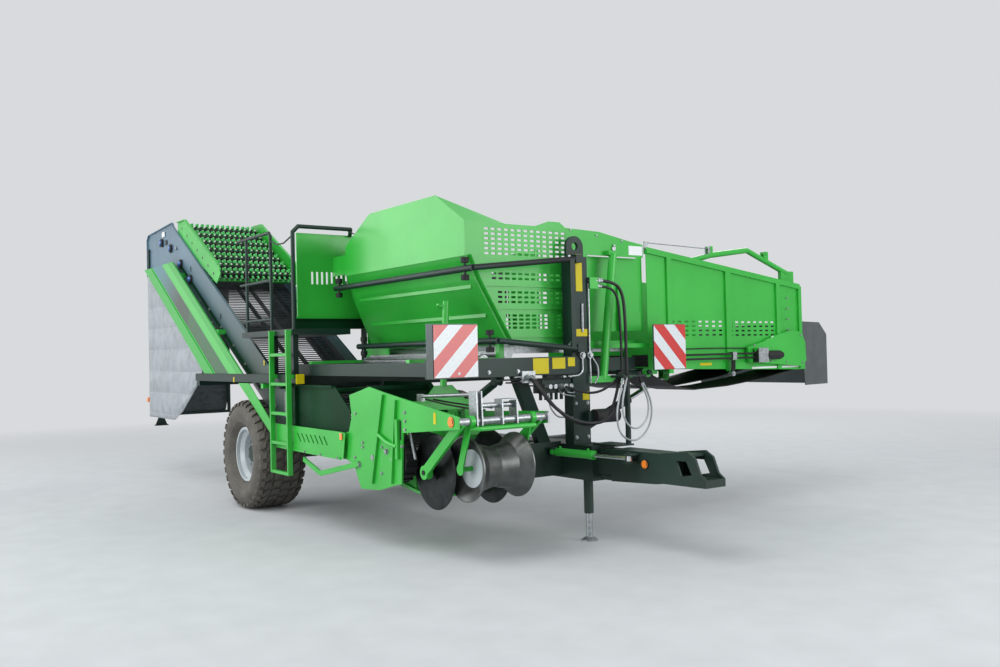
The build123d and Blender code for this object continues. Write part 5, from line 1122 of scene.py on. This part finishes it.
# name, body, lens, centre, diameter
ROUND_LENSES = (
    ("drawbar_reflector", "drawbar", AMBER, (4730, 110, 735), 66),
    ("unit_reflector", "dig_unit", AMBER, (4215, UNIT_Y, 1142), 84),
    ("ladder_lamp", "chassis", ZINC, (1262, -1420, 1512), 58),
)


def make_round_lenses():
    """Round amber reflectors and the lamp beside the ladder, each in its black rim."""
    for name, body, lens, place, across in ROUND_LENSES:
        bm = bmesh.new()
        add_stub(bm, place, RIGHT, -2, 6, across, sides=28)
        rim = len(bm.faces)
        add_stub(bm, place, RIGHT, 5, 10, across * 0.86, across * 0.7, sides=28)
        bm.faces.ensure_lookup_table()
        for face in bm.faces[rim:]:
            face.material_index = 1
        finish_piece(name, bm, body, BLACK, lens)


# ---------------------------------------------------------------------- stage
BACKDROP, BACKDROP_STRENGTH = (0.86, 0.88, 0.9, 1.0), 0.8
DAYLIGHT, DAYLIGHT_STRENGTH = (0.92, 0.96, 1.0, 1.0), 0.6
FADE_FROM, FADE_TO = 7.0, 17.0          # metres from the object
FLOOR_SIZE = 120


def seen_by_eye_or_mirror(tree):
    """1 for a camera ray and for a reflection, so that gloss shows the backdrop too."""
    rays = add(tree, "LightPath")
    return add(tree, "Math", {0: rays.outputs["Is Camera Ray"], 1: rays.outputs["Is Glossy Ray"]},
               operation="MAXIMUM").outputs[0]


def make_floor():
    """Pale matt floor that keeps the shadow and, away from the object, fades into the
    backdrop's own tone."""
    bpy.ops.mesh.primitive_plane_add(size=FLOOR_SIZE, location=(0, 0, 0))
    floor = bpy.context.object
    floor.name = "studio_floor"
    material, tree = new_material("pale_studio_floor")
    place = add(tree, "TexCoord").outputs["Object"]
    speck = add(tree, "TexNoise", {"Vector": place, "Scale": per_metre(333.3), "Detail": 3.0})
    tone = add(tree, "ValToRGB", {"Fac": speck.outputs["Fac"]}, [(0.3, "bec1c3"), (0.7, "c4c7c9")])
    matt = add(tree, "BsdfPrincipled", {"Base Color": tone.outputs[0], "Roughness": 0.9})
    away = add(tree, "VectorMath", {0: place}, operation="LENGTH")
    fade = add(tree, "MapRange", {"Value": away.outputs["Value"], "From Min": FADE_FROM, "From Max": FADE_TO})
    share = add(tree, "Math", {0: fade.outputs[0], 1: seen_by_eye_or_mirror(tree)}, operation="MULTIPLY")
    glow = add(tree, "Emission", {"Color": BACKDROP, "Strength": BACKDROP_STRENGTH})
    both = add(tree, "MixShader", {0: share.outputs[0], 1: matt.outputs[0], 2: glow.outputs[0]})
    add(tree, "OutputMaterial", {"Surface": both.outputs[0]})
    floor.data.materials.append(material)


def make_world():
    """Soft daylight from all round, behind a plain pale backdrop."""
    world = bpy.data.worlds.new("studio")
    bpy.context.scene.world = world
    world.use_nodes = True
    tree = world.node_tree
    tree.nodes.clear()
    lit = add(tree, "Background", {"Color": DAYLIGHT, "Strength": DAYLIGHT_STRENGTH})
    backdrop = add(tree, "Background", {"Color": BACKDROP, "Strength": BACKDROP_STRENGTH})
    both = add(tree, "MixShader", {0: seen_by_eye_or_mirror(tree), 1: lit.outputs[0], 2: backdrop.outputs[0]})
    add(tree, "OutputWorld", {"Surface": both.outputs[0]})


# ----------------------------------------------------------------------- make
make_camera()
hoses = make_hoses()
make_lights()
make_world()
make_floor()
paint_nodes()
for hose in hoses:
    hose.data.materials.append(PALE_HOSE if hose.name.startswith("cable") else HOSE)
make_tyre("wheel_right", "tyre_right")
make_tyre("wheel_left", "tyre_left")
make_webs()
for number in range(BED_ROLLERS):
    make_bed_roller("bed_roller_%d" % (number + 1))
make_curtains()
make_bolts()
make_wheel_nuts(-1, "wheel_right")
make_wheel_nuts(1, "wheel_left")
make_plates()
make_round_lenses()
make_bearings()
make_pipes()
make_unions()
make_couplings()
make_pin_heads()
make_latch()
make_bunker_trim()
make_channel_strip()

scene = bpy.context.scene
scene.view_settings.view_transform = "Standard"
